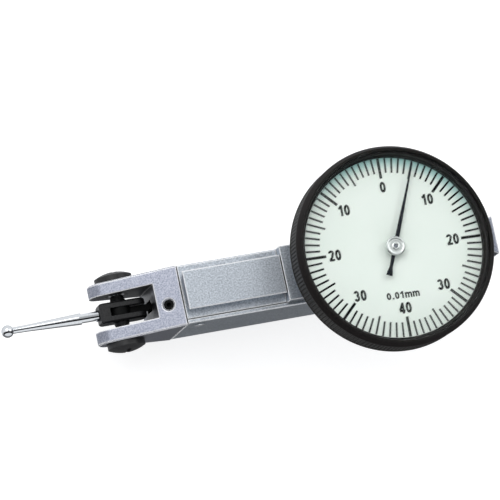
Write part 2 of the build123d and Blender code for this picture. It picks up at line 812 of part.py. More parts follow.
# Crown gear: radial teeth on the face of a disc
with BuildPart() as crown_gear:
    ring(
        facing((0, crown_back, axis_level), (0, 1, 0)),
        crown_radius + crown_face / 2 + part_clearance,
        arbor_radius,
        crown_thickness,
    )
    tooth_plane = facing((0, crown_root, axis_level), (0, 1, 0))
    half_tooth_angle = 90 / crown_teeth - math.degrees(gear_backlash / 2 / crown_radius)
    half_tooth_angle = math.radians(half_tooth_angle)
    inner = crown_radius - crown_face / 2
    outer = crown_radius + crown_face / 2
    with BuildSketch(tooth_plane):
        for number in range(crown_teeth):
            middle = math.pi / 2 + (number + 0.5) * 2 * math.pi / crown_teeth
            corners = [
                polar(inner, middle - half_tooth_angle),
                polar(outer, middle - half_tooth_angle),
                polar(outer, middle + half_tooth_angle),
                polar(inner, middle + half_tooth_angle),
            ]
            with BuildLine():
                Polyline(*corners, close=True)
            make_face()
    extrude(amount=(1 + dedendum_share) * gear_module, taper=crown_tooth_angle)
save(crown_gear, "crown_gear")

# Pointer arbor: its pinion meshes with the crown gear, its top carries the pointer
pointer_level = dial_level + pointer_rise
with BuildPart() as pointer_arbor:
    with BuildSketch(Plane.XY.offset(arbor_foot)):
        Circle(shaft_pivot_radius)
    extrude(amount=pointer_level + hub_height - arbor_recess - arbor_foot)
    with BuildSketch(Plane.XY.offset(cock_top + running_clearance)):
        Circle(arbor_radius)
    extrude(amount=front_face - jewel_thickness - cock_top - 2 * running_clearance)
    with BuildSketch(Plane.XY.offset(mesh_level - crown_face / 2 - part_clearance)):
        with BuildLine():
            Polyline(*pinion_outline(-math.pi / 2), close=True)
        make_face()
    extrude(amount=crown_face + 2 * part_clearance)
save(pointer_arbor, "pointer_arbor")

# Pointer cock: a bracket on the far wall that carries the arbor's lower jewel
cock_arm_radius = jewel_radius + cock_rim
cock_foot_height = cock_foot_top - arbor_foot
with BuildPart() as pointer_cock:
    with BuildSketch(Plane.XY.offset(arbor_foot)):
        Circle(cock_arm_radius)
        with Locations((0, pocket_wall / 2)):
            Rectangle(2 * cock_arm_radius, pocket_wall)
    extrude(amount=jewel_thickness)
    with BuildSketch(side_plane(pocket_wall)):
        with Locations((0, arbor_foot)):
            Rectangle(2 * cock_arm_radius, cock_foot_height, align=(Align.CENTER, Align.MIN))
    extrude(amount=cock_thickness)
    bore(Plane.XY.offset(cock_top), jewel_radius, jewel_thickness)
    place = facing((0, pocket_wall - cock_thickness, cock_screw_level), (0, -1, 0))
    bore(place, screw_radius + seat_clearance, cock_thickness)
save(pointer_cock, "pointer_cock")

with BuildPart() as pointer_cock_screw:
    place = facing((0, pocket_wall - cock_thickness, cock_screw_level), (0, -1, 0))
    slotted_screw(
        place, screw_head_radius, screw_head_height, screw_radius, cock_thickness + cock_screw_grip
    )
save(pointer_cock_screw, "pointer_cock_screw")

with BuildPart() as jewel_bearings:
    jewel_hole = shaft_pivot_radius + running_clearance
    for x, z in side_jewel_points:
        ring(facing((x, pocket_wall, z), (0, 1, 0)), jewel_radius, jewel_hole, jewel_thickness)
        ring(facing((x, plate_inside, z), (0, -1, 0)), jewel_radius, jewel_hole, jewel_thickness)
    ring(Plane.XY.offset(front_face - jewel_thickness), jewel_radius, jewel_hole, jewel_thickness)
    ring(Plane.XY.offset(arbor_foot), jewel_radius, jewel_hole, jewel_thickness)
save(jewel_bearings, "jewel_bearings")

# Rear dovetail: a plate on the body's end with an upright rail
rear_rail = body_rear + rear_plate_thickness
rear_face = rear_rail + dovetail_height
rear_top = front_face + rear_plate_rise
with BuildPart() as rear_dovetail:
    with BuildSketch(Plane.XY.offset(back_floor)):
        with Locations((body_rear, 0)):
            Rectangle(rear_plate_thickness, body_width, align=(Align.MIN, Align.CENTER))
    extrude(amount=rear_top - back_floor)
    chamfer(rear_dovetail.edges().filter_by(Axis.Z).group_by(Axis.X)[-1], edge_break)
    with BuildSketch(Plane.XY.offset(back_floor)) as rear_section:
        with BuildLine():
            half_face = dovetail_width / 2
            Polyline(
                (rear_rail, -half_face + undercut),
                (rear_face, -half_face),
                (rear_face, half_face),
                (rear_rail, half_face - undercut),
                close=True,
            )
        make_face()
        chamfer(rear_section.vertices().group_by(Axis.X)[-1], rail_edge_break)
    extrude(amount=rear_top - back_floor)
    for level in rear_screw_levels:
        place = facing((rear_face, 0, level), (1, 0, 0), (0, 1, 0))
        bore(place, screw_radius + seat_clearance, rear_face - body_rear)
        bore(place, screw_head_radius + seat_clearance, dovetail_height)
save(rear_dovetail, "rear_dovetail")

with BuildPart() as rear_dovetail_screws:
    for level in rear_screw_levels:
        place = facing((rear_rail, 0, level), (1, 0, 0), (0, 1, 0))
        slotted_screw(
            place, screw_head_radius, screw_head_height, screw_radius, rear_plate_thickness + screw_length
        )
save(rear_dovetail_screws, "rear_dovetail_screws")

# Dial case: a cup on the body's shoulder, with a groove for the bezel's spring ring
case_top = front_face + case_height
groove_level = dial_level - bezel_skirt_drop + ring_rise
groove_root = case_radius - ring_section / 2
with BuildPart() as dial_case:
    with BuildSketch(Plane.XZ):
        with BuildLine():
            Polyline(
                (case_floor * 2, front_face),
                (case_radius - edge_break, front_face),
                (case_radius, front_face + edge_break),
                (case_radius, groove_level - ring_section / 2 - seat_clearance),
                (groove_root, groove_level - ring_section / 2 - seat_clearance),
                (groove_root, groove_level + ring_section / 2 + seat_clearance),
                (case_radius, groove_level + ring_section / 2 + seat_clearance),
                (case_radius, case_top),
                (case_radius - case_wall, case_top),
                (case_radius - case_wall, front_face + case_floor),
                (case_floor * 2, front_face + case_floor),
                close=True,
            )
        make_face()
    revolve(axis=Axis.Z)
    for x, y in case_screw_points:
        bore(
            facing((x, y, front_face + case_floor), (0, 0, 1)), screw_radius + seat_clearance, case_floor
        )
save(dial_case, "dial_case")

with BuildPart() as dial_case_screws:
    for x, y in case_screw_points:
        place = facing((x, y, front_face + case_floor), (0, 0, 1))
        slotted_screw(
            place, screw_head_radius, screw_head_height, screw_radius, screw_length + case_floor
        )
save(dial_case_screws, "dial_case_screws")

# Spring ring that holds the bezel on the case, split on one side
with BuildPart() as bezel_spring_ring:
    with BuildSketch(Plane.XZ):
        with Locations((groove_root + seat_clearance + ring_section / 2, groove_level)):
            Rectangle(ring_section, ring_section - 2 * seat_clearance)
    revolve(axis=Axis.Z, revolution_arc=360 - ring_gap_angle)
save(bezel_spring_ring, "bezel_spring_ring")

# Bezel: knurled skirt, cone and crest, and a tapered mouth with ledges for crystal and dial face
bezel_low = dial_level - bezel_skirt_drop
bezel_side_top = dial_level + bezel_side_rise
bezel_top = dial_level + bezel_lip_rise
skirt_bore = case_radius + bezel_clearance
ledge_inner = bezel_window_radius - bezel_ledge_width
crystal_radius = bezel_window_radius + crystal_seat_depth
crystal_top = bezel_top - bezel_lip_height
crystal_low = crystal_top - crystal_thickness
seal_low = crystal_low - seal_thickness
seal_inner = crystal_radius - crystal_seat_width
crest_inner = crystal_radius + bezel_mouth_flare
land_radius = bezel_radius - knurl_depth / 2
ring_room = groove_root + ring_section + bezel_clearance
with BuildPart() as bezel:
    with BuildSketch(Plane.XZ):
        with BuildLine():
            Polyline(
                (skirt_bore, bezel_low),
                (land_radius - edge_break, bezel_low),
                (land_radius, bezel_low + edge_break),
                (land_radius, bezel_side_top),
                (crest_inner + bezel_crest_width, bezel_top),
                (crest_inner, bezel_top),
                (crystal_radius, crystal_top),
                (crystal_radius, seal_low),
                (seal_inner, seal_low),
                (bezel_window_radius, dial_level),
                (bezel_window_radius, dial_level - dial_thickness),
                (ledge_inner, dial_level - dial_thickness),
                (ledge_inner, case_top + bezel_clearance),
                (skirt_bore, case_top + bezel_clearance),
                (skirt_bore, groove_level + ring_section / 2 + bezel_clearance),
                (ring_room, groove_level + ring_section / 2 + bezel_clearance),
                (ring_room, groove_level - ring_section / 2 - bezel_clearance),
                (skirt_bore, groove_level - ring_section / 2 - bezel_clearance),
                close=True,
            )
        make_face()
    revolve(axis=Axis.Z)
    knurl_points = []
    for number in range(knurl_count):
        for radius, step in ((bezel_radius, 0), (bezel_radius - knurl_depth, 0.5)):
            angle = 2 * math.pi * (number + step) / knurl_count
            knurl_points.append((radius * math.cos(angle), radius * math.sin(angle)))
    with BuildSketch(Plane.XY.offset(bezel_low + knurl_margin)):
        with BuildLine():
            Polyline(*knurl_points, close=True)
        make_face()
        Circle(land_radius - 2 * knurl_depth, mode=Mode.SUBTRACT)
    extrude(amount=bezel_side_top - bezel_low - 2 * knurl_margin)
save(bezel, "bezel")

with BuildPart() as crystal_seal:
    ring(Plane.XY.offset(seal_low), crystal_radius, seal_inner, seal_thickness)
save(crystal_seal, "crystal_seal")

with BuildPart() as crystal:
    with BuildSketch(Plane.XY.offset(crystal_low)):
        Circle(crystal_radius)
    extrude(amount=crystal_thickness)
save(crystal, "crystal")

with BuildPart() as dial_face:
    ring(
        Plane.XY.offset(dial_level - dial_thickness),
        dial_radius,
        dial_hole_radius,
        dial_thickness,
    )
save(dial_face, "dial_face")

# Pointer: slender blade with a counterweight tail
with BuildPart() as pointer:
    with BuildSketch(Plane.XY.offset(pointer_level) * Rotation(0, 0, -pointer_rest_angle)):
        outline = [
            (pointer_tip_half_width, bezel_window_radius - pointer_tip_gap),
            (pointer_blade_half_width, pointer_blade_reach),
            (pointer_root_half_width, hub_radius),
            (pointer_root_half_width, -hub_radius),
            (pointer_tail_neck_half_width, -pointer_tail_neck),
            (pointer_tail_half_width, -pointer_tail),
        ]
        with BuildLine():
            Polyline(*outline, *[(-x, y) for x, y in reversed(outline)], close=True)
        make_face()
        Circle(pointer_eye_radius)
        Circle(hub_spigot_radius, mode=Mode.SUBTRACT)
    extrude(amount=pointer_thickness)
save(pointer, "pointer")

with BuildPart() as pointer_hub:
    hub_foot = Plane.XY.offset(pointer_level - hub_spigot_drop)
    cap_height = hub_height - pointer_thickness
    ring(hub_foot, hub_spigot_radius, shaft_pivot_radius, hub_height + hub_spigot_drop)
    ring(Plane.XY.offset(pointer_level + pointer_thickness), hub_radius, shaft_pivot_radius, cap_height)
    chamfer(edges_at(Plane.XY.offset(pointer_level + hub_height), hub_radius), hub_edge_break)
save(pointer_hub, "pointer_hub")

# Hairspring: half-turn arcs about two centres, from the collet out to the stud
spring_start = collet_radius + spring_strip / 2 + seat_clearance
spring_end = spring_start + spring_pitch * spring_half_turn_count / 2
with BuildPart() as hairspring_collet:
    ring(Plane.XY.offset(spring_level), collet_radius, shaft_pivot_radius, collet_height)
save(hairspring_collet, "hairspring_collet")


def spiral_side(offset):
    """One edge of the strip: half-turn arcs whose centre steps aside by half a pitch."""
    for half_turn in range(spring_half_turn_count):
        centre = (0, 0) if half_turn % 2 == 0 else (spring_pitch / 2, 0)
        radius = spring_start + half_turn * spring_pitch / 2 + offset
        CenterArc(centre, radius, 180 * (half_turn % 2), 180)


with BuildPart() as hairspring:
    with BuildSketch(Plane.XY.offset(spring_level + (collet_height - spring_width) / 2)):
        with BuildLine():
            spiral_side(-spring_strip / 2)
            spiral_side(spring_strip / 2)
            for radius in (spring_start, spring_end):
                Line((radius - spring_strip / 2, 0), (radius + spring_strip / 2, 0))
        make_face()
    extrude(amount=spring_width)
save(hairspring, "hairspring")

stud_x = spring_end + spring_strip / 2 + part_clearance + stud_radius
with BuildPart() as hairspring_stud:
    with BuildSketch(Plane.XY.offset(front_face + case_floor)):
        with Locations((stud_x, 0)):
            Circle(stud_radius)
    extrude(amount=spring_level + collet_height - front_face - case_floor)
save(hairspring_stud, "hairspring_stud")
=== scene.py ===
import bpy
import math
import numpy as np
from mathutils import Matrix, Vector


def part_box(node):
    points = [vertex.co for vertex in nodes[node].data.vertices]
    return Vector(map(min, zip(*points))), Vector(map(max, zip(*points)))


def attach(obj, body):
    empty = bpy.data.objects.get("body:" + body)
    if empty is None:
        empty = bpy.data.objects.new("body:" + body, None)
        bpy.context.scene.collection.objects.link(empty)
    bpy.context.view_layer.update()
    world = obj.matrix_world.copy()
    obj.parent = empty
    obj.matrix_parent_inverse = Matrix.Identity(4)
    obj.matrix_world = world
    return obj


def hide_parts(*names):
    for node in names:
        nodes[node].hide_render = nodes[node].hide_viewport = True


# Lever-type dial test indicator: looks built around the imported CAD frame.
# Lengths in the dictionaries are millimetres in the frame's own axes.

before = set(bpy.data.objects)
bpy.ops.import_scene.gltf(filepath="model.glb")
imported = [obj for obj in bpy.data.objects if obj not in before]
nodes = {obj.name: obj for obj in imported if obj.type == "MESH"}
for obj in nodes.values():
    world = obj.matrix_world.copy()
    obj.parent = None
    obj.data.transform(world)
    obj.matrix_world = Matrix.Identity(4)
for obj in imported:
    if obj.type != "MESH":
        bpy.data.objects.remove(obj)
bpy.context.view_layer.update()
mm = 0.001


# Small helpers

# Lowest and highest corner of a CAD node, in millimetres
def nodeBox(name):
    low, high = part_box(name)
    return np.array(low) / mm, np.array(high) / mm


# sRGB hex to linear: each channel c becomes ((c + 0.055) / 1.055) to the power 2.4
def hexColour(text):
    channels = [int(text[i:i + 2], 16) / 255 for i in (0, 2, 4)]
    return tuple(c / 12.92 if c <= 0.04045 else ((c + 0.055) / 1.055) ** 2.4 for c in channels) + (1.0,)


# One node with its settings (attributes or socket values) and the sources linked into it
def addNode(tree, kind, settings={}, links={}):
    node = tree.nodes.new(kind)
    for key, value in settings.items():
        if isinstance(key, str) and hasattr(node, key):
            setattr(node, key, value)
        else:
            node.inputs[key].default_value = value
    for socket, source in links.items():
        tree.links.new(source, node.inputs[socket])
    return node


# Vertices and faces of a grid of points, rows x columns x 3. wrapColumns closes each row into a ring,
# wrapRows joins the last row to the first, and capped closes both end rows with one face each.
def gridShape(points, wrapColumns=True, wrapRows=False, capped=False):
    rows, columns = points.shape[:2]
    index = np.arange(rows * columns).reshape(rows, columns)
    if wrapRows:
        index = np.vstack([index, index[:1]])
    if wrapColumns:
        index = np.hstack([index, index[:, :1]])
    corners = (index[:-1, :-1], index[:-1, 1:], index[1:, 1:], index[1:, :-1])
    faces = np.stack(corners, axis=-1).reshape(-1, 4).tolist()
    if capped:
        faces.append(list(range(columns))[::-1])
        faces.append([(rows - 1) * columns + i for i in range(columns)])
    return points.reshape(-1, 3), faces


# Several shapes as one list of vertices and faces
def joinShapes(shapes):
    vertices, faces, start = [], [], 0
    for points, polygons in shapes:
        vertices.append(points)
        faces += [[start + i for i in polygon] for polygon in polygons]
        start += len(points)
    return np.vstack(vertices), faces


# A piece from millimetre vertices: smooth where faces meet below the crease angle
def makePiece(name, shape, body, material, replaced=(), crease=32):
    points, faces = shape
    mesh = bpy.data.meshes.new(name)
    mesh.from_pydata((points * mm).tolist(), [], faces)
    mesh.validate()
    mesh.shade_smooth()
    mesh.set_sharp_from_angle(angle=math.radians(crease))
    mesh.materials.append(material)
    piece = bpy.data.objects.new(name, mesh)
    bpy.context.scene.collection.objects.link(piece)
    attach(piece, body)
    if replaced:
        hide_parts(*replaced)
    return piece


# A closed outline with its corners rounded: each corner becomes a quadratic curve that leaves
# the corner's two edges at the given distance, or at 0.45 of the shorter edge
def roundedOutline(corners, radii, steps=5):
    corner = np.array(corners, float)
    before = np.roll(corner, 1, axis=0) - corner
    after = np.roll(corner, -1, axis=0) - corner
    lengthBefore = np.linalg.norm(before, axis=1, keepdims=True)
    lengthAfter = np.linalg.norm(after, axis=1, keepdims=True)
    reach = np.minimum(np.array(radii, float)[:, None], 0.45 * np.minimum(lengthBefore, lengthAfter))
    first = corner + before / lengthBefore * reach
    last = corner + after / lengthAfter * reach
    t = np.linspace(0, 1, steps)[None, :, None]
    curve = (1 - t) ** 2 * first[:, None] + 2 * t * (1 - t) * corner[:, None] + t ** 2 * last[:, None]
    return curve.reshape(-1, 2)


# An outline of (radius, height) turned about the Z axis: (r cos a, r sin a, z)
def turned(outline, columns, radiusChange=None):
    angle = np.linspace(0, 2 * np.pi, columns, endpoint=False)
    radius = np.repeat(outline[:, :1], columns, axis=1)
    if radiusChange is not None:
        radius = radius + radiusChange(outline[:, 1:], angle[None, :], radius)
    height = np.repeat(outline[:, 1:], columns, axis=1)
    return np.stack([radius * np.cos(angle), radius * np.sin(angle), height], axis=-1)


# Materials

print("materials")

# What all grainy finishes share
grainyLook = {
    "gritDetail": 3.0,
    "cloudSize": 6.0,          # a slow drift under the grit, mm
    "cloudShare": 0.08,        # of the whole pattern
    "patternLow": 0.36,        # the part of the noise's span that runs from dark to light
    "patternHigh": 0.64,
    "edgeStart": 0.998,        # cosine between the face and its softened edge where the painted edge highlight begins
    "edgeFull": 0.96,          # and where it is full
    # Painted shade in narrow gaps runs from full at the first openness to none at the second
    "gapShut": 0.35,           # openness of a gap that is fully dark
    "gapOpen": 0.78,           # and of one that isn't dark at all
    "edgeSamples": 6,
    "gapSamples": 8,
}


# An empty material with its shader and output, and the object coordinates its patterns use
def newMaterial(name, settings):
    material = bpy.data.materials.new(name)
    material.use_nodes = True
    tree = material.node_tree
    tree.nodes.clear()
    shader = addNode(tree, "ShaderNodeBsdfPrincipled", settings)
    addNode(tree, "ShaderNodeOutputMaterial", {}, {"Surface": shader.outputs[0]})
    place = addNode(tree, "ShaderNodeTexCoord").outputs["Object"]
    return material, tree, shader, place


# Metal or paint with a grainy surface. grain is the grit in mm, and the noise's scale is 1 / grain in
# metres; colours run from dark to light with it, roughness swings about its middle, the bump follows
# the grain, and edge is the radius in mm over which sharp edges catch light. paintedGapShade is painted
# shade: how far narrow gaps are painted darker, over shadeReach in mm. paintedEdgeHighlight is a painted
# highlight: how far sharp edges are painted toward paintedHighlightColour, with their metal share going
# to paintedHighlightMetal. Both run from 0 to 1.
def grainyFinish(name, dark, light, metallic, roughness, swing, grain, bump, edge=0.1, specular=0.5,
                 paintedGapShade=0.0, shadeReach=0.9, paintedEdgeHighlight=0.0, paintedHighlightColour="ffffff", paintedHighlightMetal=0.1):
    look = grainyLook
    material, tree, shader, place = newMaterial(name, {
        "Metallic": metallic, "Specular IOR Level": specular})
    grit = {"Scale": 1 / (grain * mm), "Detail": look["gritDetail"]}
    noise = addNode(tree, "ShaderNodeTexNoise", grit, {"Vector": place})
    drift = {"Scale": 1 / (look["cloudSize"] * mm), "Detail": 2.0}
    cloud = addNode(tree, "ShaderNodeTexNoise", drift, {"Vector": place})
    cloudPart = addNode(tree, "ShaderNodeMath", {"operation": "MULTIPLY", 1: look["cloudShare"]},
                        {0: cloud.outputs["Fac"]})
    blend = addNode(tree, "ShaderNodeMath", {"operation": "MULTIPLY_ADD", 1: 1 - look["cloudShare"]},
                    {0: noise.outputs["Fac"], 2: cloudPart.outputs[0]})
    useful = {"From Min": look["patternLow"], "From Max": look["patternHigh"]}
    span = addNode(tree, "ShaderNodeMapRange", useful, {"Value": blend.outputs[0]})
    colour = addNode(tree, "ShaderNodeMix", {"data_type": "RGBA", 6: hexColour(dark), 7: hexColour(light)},
                     {0: span.outputs[0]})
    rough = addNode(tree, "ShaderNodeMapRange", {"To Min": roughness - swing, "To Max": roughness + swing},
                    {"Value": span.outputs[0]})
    softEdge = addNode(tree, "ShaderNodeBevel", {"samples": look["edgeSamples"], "Radius": edge * mm})
    relief = addNode(tree, "ShaderNodeBump", {"Strength": 1.0, "Distance": bump * mm},
                     {"Height": noise.outputs["Fac"], "Normal": softEdge.outputs[0]})
    tint = colour.outputs[2]
    # Painted highlight: sharp edges are painted toward a pale colour with less metal, so that they read lit
    # whichever way they face
    if paintedEdgeHighlight:
        face = addNode(tree, "ShaderNodeNewGeometry").outputs["Normal"]
        turn = addNode(tree, "ShaderNodeVectorMath", {"operation": "DOT_PRODUCT"},
                       {0: softEdge.outputs[0], 1: face})
        highlightSpan = {"From Min": look["edgeStart"], "From Max": look["edgeFull"], "To Max": paintedEdgeHighlight}
        rim = addNode(tree, "ShaderNodeMapRange", highlightSpan, {"Value": turn.outputs["Value"]})
        tint = addNode(tree, "ShaderNodeMix", {"data_type": "RGBA", 7: hexColour(paintedHighlightColour)},
                       {0: rim.outputs[0], 6: tint}).outputs[2]
        metal = addNode(tree, "ShaderNodeMapRange", {"To Min": metallic, "To Max": paintedHighlightMetal},
                        {"Value": rim.outputs[0]})
        tree.links.new(metal.outputs[0], shader.inputs["Metallic"])
    # Painted shade: the colour is darkened in narrow gaps by their ambient occlusion, where shade falls
    if paintedGapShade:
        reach = {"samples": look["gapSamples"], "Distance": shadeReach * mm}
        openness = addNode(tree, "ShaderNodeAmbientOcclusion", reach)
        dimming = {"From Min": look["gapShut"], "From Max": look["gapOpen"], "To Min": 1 - paintedGapShade}
        shade = addNode(tree, "ShaderNodeMapRange", dimming, {"Value": openness.outputs["AO"]})
        tint = addNode(tree, "ShaderNodeMix", {"data_type": "RGBA", "blend_type": "MULTIPLY", 0: 1.0},
                       {6: tint, 7: shade.outputs[0]}).outputs[2]
    tree.links.new(tint, shader.inputs["Base Color"])
    tree.links.new(rough.outputs[0], shader.inputs["Roughness"])
    tree.links.new(relief.outputs[0], shader.inputs["Normal"])
    return material


# What all line finishes share
lineLook = {
    "detail": 2.0,
    "edge": 0.05,              # radius over which sharp edges catch light, mm
    "edgeSamples": 6,
    "reliefShare": 0.6,        # of the full bump
}


# Turned or ground metal: fine lines that run round an axis or along it. stretch squeezes the noise
# along each axis, so that the pattern turns into lines; spacing is their distance in mm.
def lineFinish(name, dark, light, roughness, swing, spacing, stretch, bump):
    look = lineLook
    material, tree, shader, place = newMaterial(name, {"Metallic": 1.0})
    squeezed = addNode(tree, "ShaderNodeMapping", {"Scale": stretch}, {"Vector": place})
    lines = {"Scale": 1 / (spacing * mm), "Detail": look["detail"]}
    noise = addNode(tree, "ShaderNodeTexNoise", lines, {"Vector": squeezed.outputs[0]})
    colour = addNode(tree, "ShaderNodeMix", {"data_type": "RGBA", 6: hexColour(dark), 7: hexColour(light)},
                     {0: noise.outputs["Fac"]})
    rough = addNode(tree, "ShaderNodeMapRange", {"To Min": roughness - swing, "To Max": roughness + swing},
                    {"Value": noise.outputs["Fac"]})
    rounding = {"samples": look["edgeSamples"], "Radius": look["edge"] * mm}
    softEdge = addNode(tree, "ShaderNodeBevel", rounding)
    relief = addNode(tree, "ShaderNodeBump", {"Strength": look["reliefShare"], "Distance": bump * mm},
                     {"Height": noise.outputs["Fac"], "Normal": softEdge.outputs[0]})
    tree.links.new(colour.outputs[2], shader.inputs["Base Color"])
    tree.links.new(rough.outputs[0], shader.inputs["Roughness"])
    tree.links.new(relief.outputs[0], shader.inputs["Normal"])
    return material


# Satin chrome over bead-blasted steel: grey-blue, matt, with a fine sparkle of grit.
# Real grit is near 0.1 mm; it is drawn at 0.24 mm so that it shows.
# Its sharp edges are painted as light lines, a painted highlight, and its narrow gaps are painted darker, a
# painted shade.
blastedChrome = grainyFinish("chrome_beadBlasted", "9fa6ae", "ced4db", 1.0, 0.44, 0.05, 0.24, 0.011,
                             edge=0.3, paintedGapShade=0.8, paintedEdgeHighlight=1.0)
# The fork head and the rear dovetail are ground before they are plated: smoother, a little more violet
# Its sharp edges carry the same painted highlight, and its gaps and the fork's slot a painted shade that
# reaches 6 mm.
groundChrome = grainyFinish("chrome_groundSatin", "7b7f8b", "a6a9b5", 1.0, 0.36, 0.04, 0.22, 0.005,
                            edge=0.3, paintedGapShade=0.95, shadeReach=6.0, paintedEdgeHighlight=1.0)
# Chemically blackened steel: near-black, with a soft oily sheen
# Its narrow gaps are painted darker: painted shade.
blackenedSteel = grainyFinish("steel_blackened", "19191a", "29292a", 0.0, 0.4, 0.06, 0.3, 0.006,
                              edge=0.12, specular=0.35, paintedGapShade=0.3, shadeReach=2.5)
# The same steel, dull and painted darker for the parts that sit deep in slots and bores: their shade is
# painted into the colour, so it swallows the light. Its narrow gaps are painted darker still.
shadedBlackSteel = grainyFinish("steel_blackenedPaintedShade", "060707", "0d0e0e", 0.0, 0.6, 0.05, 0.3, 0.004,
                              edge=0.05, specular=0.12, paintedGapShade=0.5, shadeReach=2.5)
# Black satin lacquer on the turned bezel. Its edges are painted grey as a highlight, and its narrow gaps
# are painted darker as shade.
lacqueredBezel = grainyFinish("aluminium_blackLacquer", "0e0c0c", "1d1918", 0.0, 0.5, 0.06, 0.3, 0.006,
                              edge=0.15, specular=0.1, paintedGapShade=0.8, shadeReach=0.6, paintedEdgeHighlight=0.3,
                              paintedHighlightColour="868b88", paintedHighlightMetal=0.0)
# Ground and polished steel: bright, with turning lines across its length
polishedSteel = lineFinish("steel_turnedPolished", "d0d3d6", "eceef0", 0.07, 0.02, 0.12, (1, 0.06, 0.06),
                           0.002)
# The ball is lapped: a mirror with the faintest haze
lappedBall = lineFinish("steel_lapped", "d0d3d6", "e2e4e6", 0.06, 0.02, 0.8, (1, 1, 1), 0.0005)
# Sheet brass of the movement, grained along its length
grainedBrass = lineFinish("brass_grained", "b08a3e", "d8b566", 0.3, 0.07, 0.15, (0.06, 1, 1), 0.003)
# Tempered spring steel wire, grey and smooth
temperedSteel = lineFinish("steel_tempered", "6c7077", "8f949b", 0.3, 0.05, 0.2, (1, 1, 0.2), 0.002)
# Rolled phosphor bronze strip of the hairspring
rolledBronze = lineFinish("bronze_rolled", "8a5a3a", "b57e54", 0.28, 0.05, 0.1, (1, 1, 0.1), 0.001)
# Heat-blued screw steel
bluedSteel = lineFinish("steel_heatBlued", "1d2a5c", "30448c", 0.22, 0.05, 0.2, (1, 1, 1), 0.001)
# The pointer's blue-black lacquer
needleLacquer = grainyFinish("brass_blueBlackLacquer", "050b12", "0a1420", 0.0, 0.32, 0.04, 0.3, 0.001,
                             edge=0.02, specular=0.2)
# Moulded nitrile seal: black and dull
mouldedRubber = grainyFinish("nitrile_moulded", "0c0c0c", "161616", 0.0, 0.75, 0.05, 0.2, 0.004, edge=0.05)
# Printed ink on the dial, matt black
printInk = grainyFinish("ink_screenPrinted", "050607", "0b0d0e", 0.0, 0.6, 0.05, 0.15, 0.001, edge=0.01,
                        specular=0.1)


# Synthetic ruby: clear deep red with a high index
def rubyFinish():
    material, tree, shader, place = newMaterial("corundum_polishedRuby", {
        "Roughness": 0.05, "IOR": 1.77, "Transmission Weight": 0.4})
    cloud = addNode(tree, "ShaderNodeTexNoise", {"Scale": 1 / (0.8 * mm)}, {"Vector": place})
    reds = {"data_type": "RGBA", 6: hexColour("8c0a24"), 7: hexColour("c01a3a")}
    colour = addNode(tree, "ShaderNodeMix", reds, {0: cloud.outputs["Fac"]})
    tree.links.new(colour.outputs[2], shader.inputs["Base Color"])
    return material


# The dial's enamel: grain sizes in mm, and the places of the painted green light near the rim as shares of
# the radius
enamel = {
    "dark": "ecf6ed", "light": "f4fbf4", "mottle": 5.0,
    "paintedGlassLight": "b0ddd8", "rimStart": 0.85,
    "greenest": (0.25, 0.97, 0), "sideStart": 0.2, "sideFull": 0.9,
    "grain": 0.2, "grainHeight": 0.002,
}


# Enamel on the dial plate: matt white with a breath of mint, slightly mottled. Near the rim the green
# light that the glass edge above it throws is painted into the colour, most towards the direction called
# greenest.
def enamelFinish(radius):
    material, tree, shader, place = newMaterial("enamel_mattDial", {
        "Roughness": 0.55, "Specular IOR Level": 0.2})
    mottle = {"Scale": 1 / (enamel["mottle"] * mm), "Detail": 3.0}
    cloud = addNode(tree, "ShaderNodeTexNoise", mottle, {"Vector": place})
    whites = {"data_type": "RGBA", 6: hexColour(enamel["dark"]), 7: hexColour(enamel["light"])}
    paint = addNode(tree, "ShaderNodeMix", whites, {0: cloud.outputs["Fac"]})
    # Painted light: the glass edge's green light is mixed into the enamel near the rim, on the side towards
    # greenest
    flat = addNode(tree, "ShaderNodeMapping", {"Scale": (1, 1, 0)}, {"Vector": place})
    away = addNode(tree, "ShaderNodeVectorMath", {"operation": "LENGTH"}, {0: flat.outputs[0]})
    ring = {"interpolation_type": "SMOOTHSTEP", "From Min": enamel["rimStart"] * radius * mm,
            "From Max": radius * mm}
    rim = addNode(tree, "ShaderNodeMapRange", ring, {"Value": away.outputs["Value"]})
    towards = addNode(tree, "ShaderNodeVectorMath", {"operation": "DOT_PRODUCT", 1: enamel["greenest"]},
                      {0: place})
    half = {"interpolation_type": "SMOOTHSTEP", "From Min": enamel["sideStart"] * radius * mm,
            "From Max": enamel["sideFull"] * radius * mm}
    side = addNode(tree, "ShaderNodeMapRange", half, {"Value": towards.outputs["Value"]})
    share = addNode(tree, "ShaderNodeMath", {"operation": "MULTIPLY"},
                    {0: rim.outputs[0], 1: side.outputs[0]})
    colour = addNode(tree, "ShaderNodeMix", {"data_type": "RGBA", 7: hexColour(enamel["paintedGlassLight"])},
                     {0: share.outputs[0], 6: paint.outputs[2]})
    grain = addNode(tree, "ShaderNodeTexNoise", {"Scale": 1 / (enamel["grain"] * mm)}, {"Vector": place})
    relief = addNode(tree, "ShaderNodeBump", {"Strength": 0.3, "Distance": enamel["grainHeight"] * mm},
                     {"Height": grain.outputs[0]})
    tree.links.new(colour.outputs[2], shader.inputs["Base Color"])
    tree.links.new(relief.outputs[0], shader.inputs["Normal"])
    return material


# Mineral glass of the crystal: clear, with a breath of green and a soft gloss
def crystalFinish():
    material, tree, shader, place = newMaterial("glass_mineralCrystal", {
        "Roughness": 0.02, "IOR": 1.5, "Transmission Weight": 1.0,
        "Specular IOR Level": 0.3, "Alpha": 0.08})
    cloud = addNode(tree, "ShaderNodeTexNoise", {"Scale": 1 / (8 * mm)}, {"Vector": place})
    greens = {"data_type": "RGBA", 6: hexColour("eef9f2"), 7: hexColour("f6fcf8")}
    colour = addNode(tree, "ShaderNodeMix", greens, {0: cloud.outputs["Fac"]})
    tree.links.new(colour.outputs[2], shader.inputs["Base Color"])
    return material


ruby = rubyFinish()
dialEnamel = enamelFinish(nodeBox("dial_face")[1][0])


# CAD nodes that keep their shape

print("finishes on the CAD nodes")

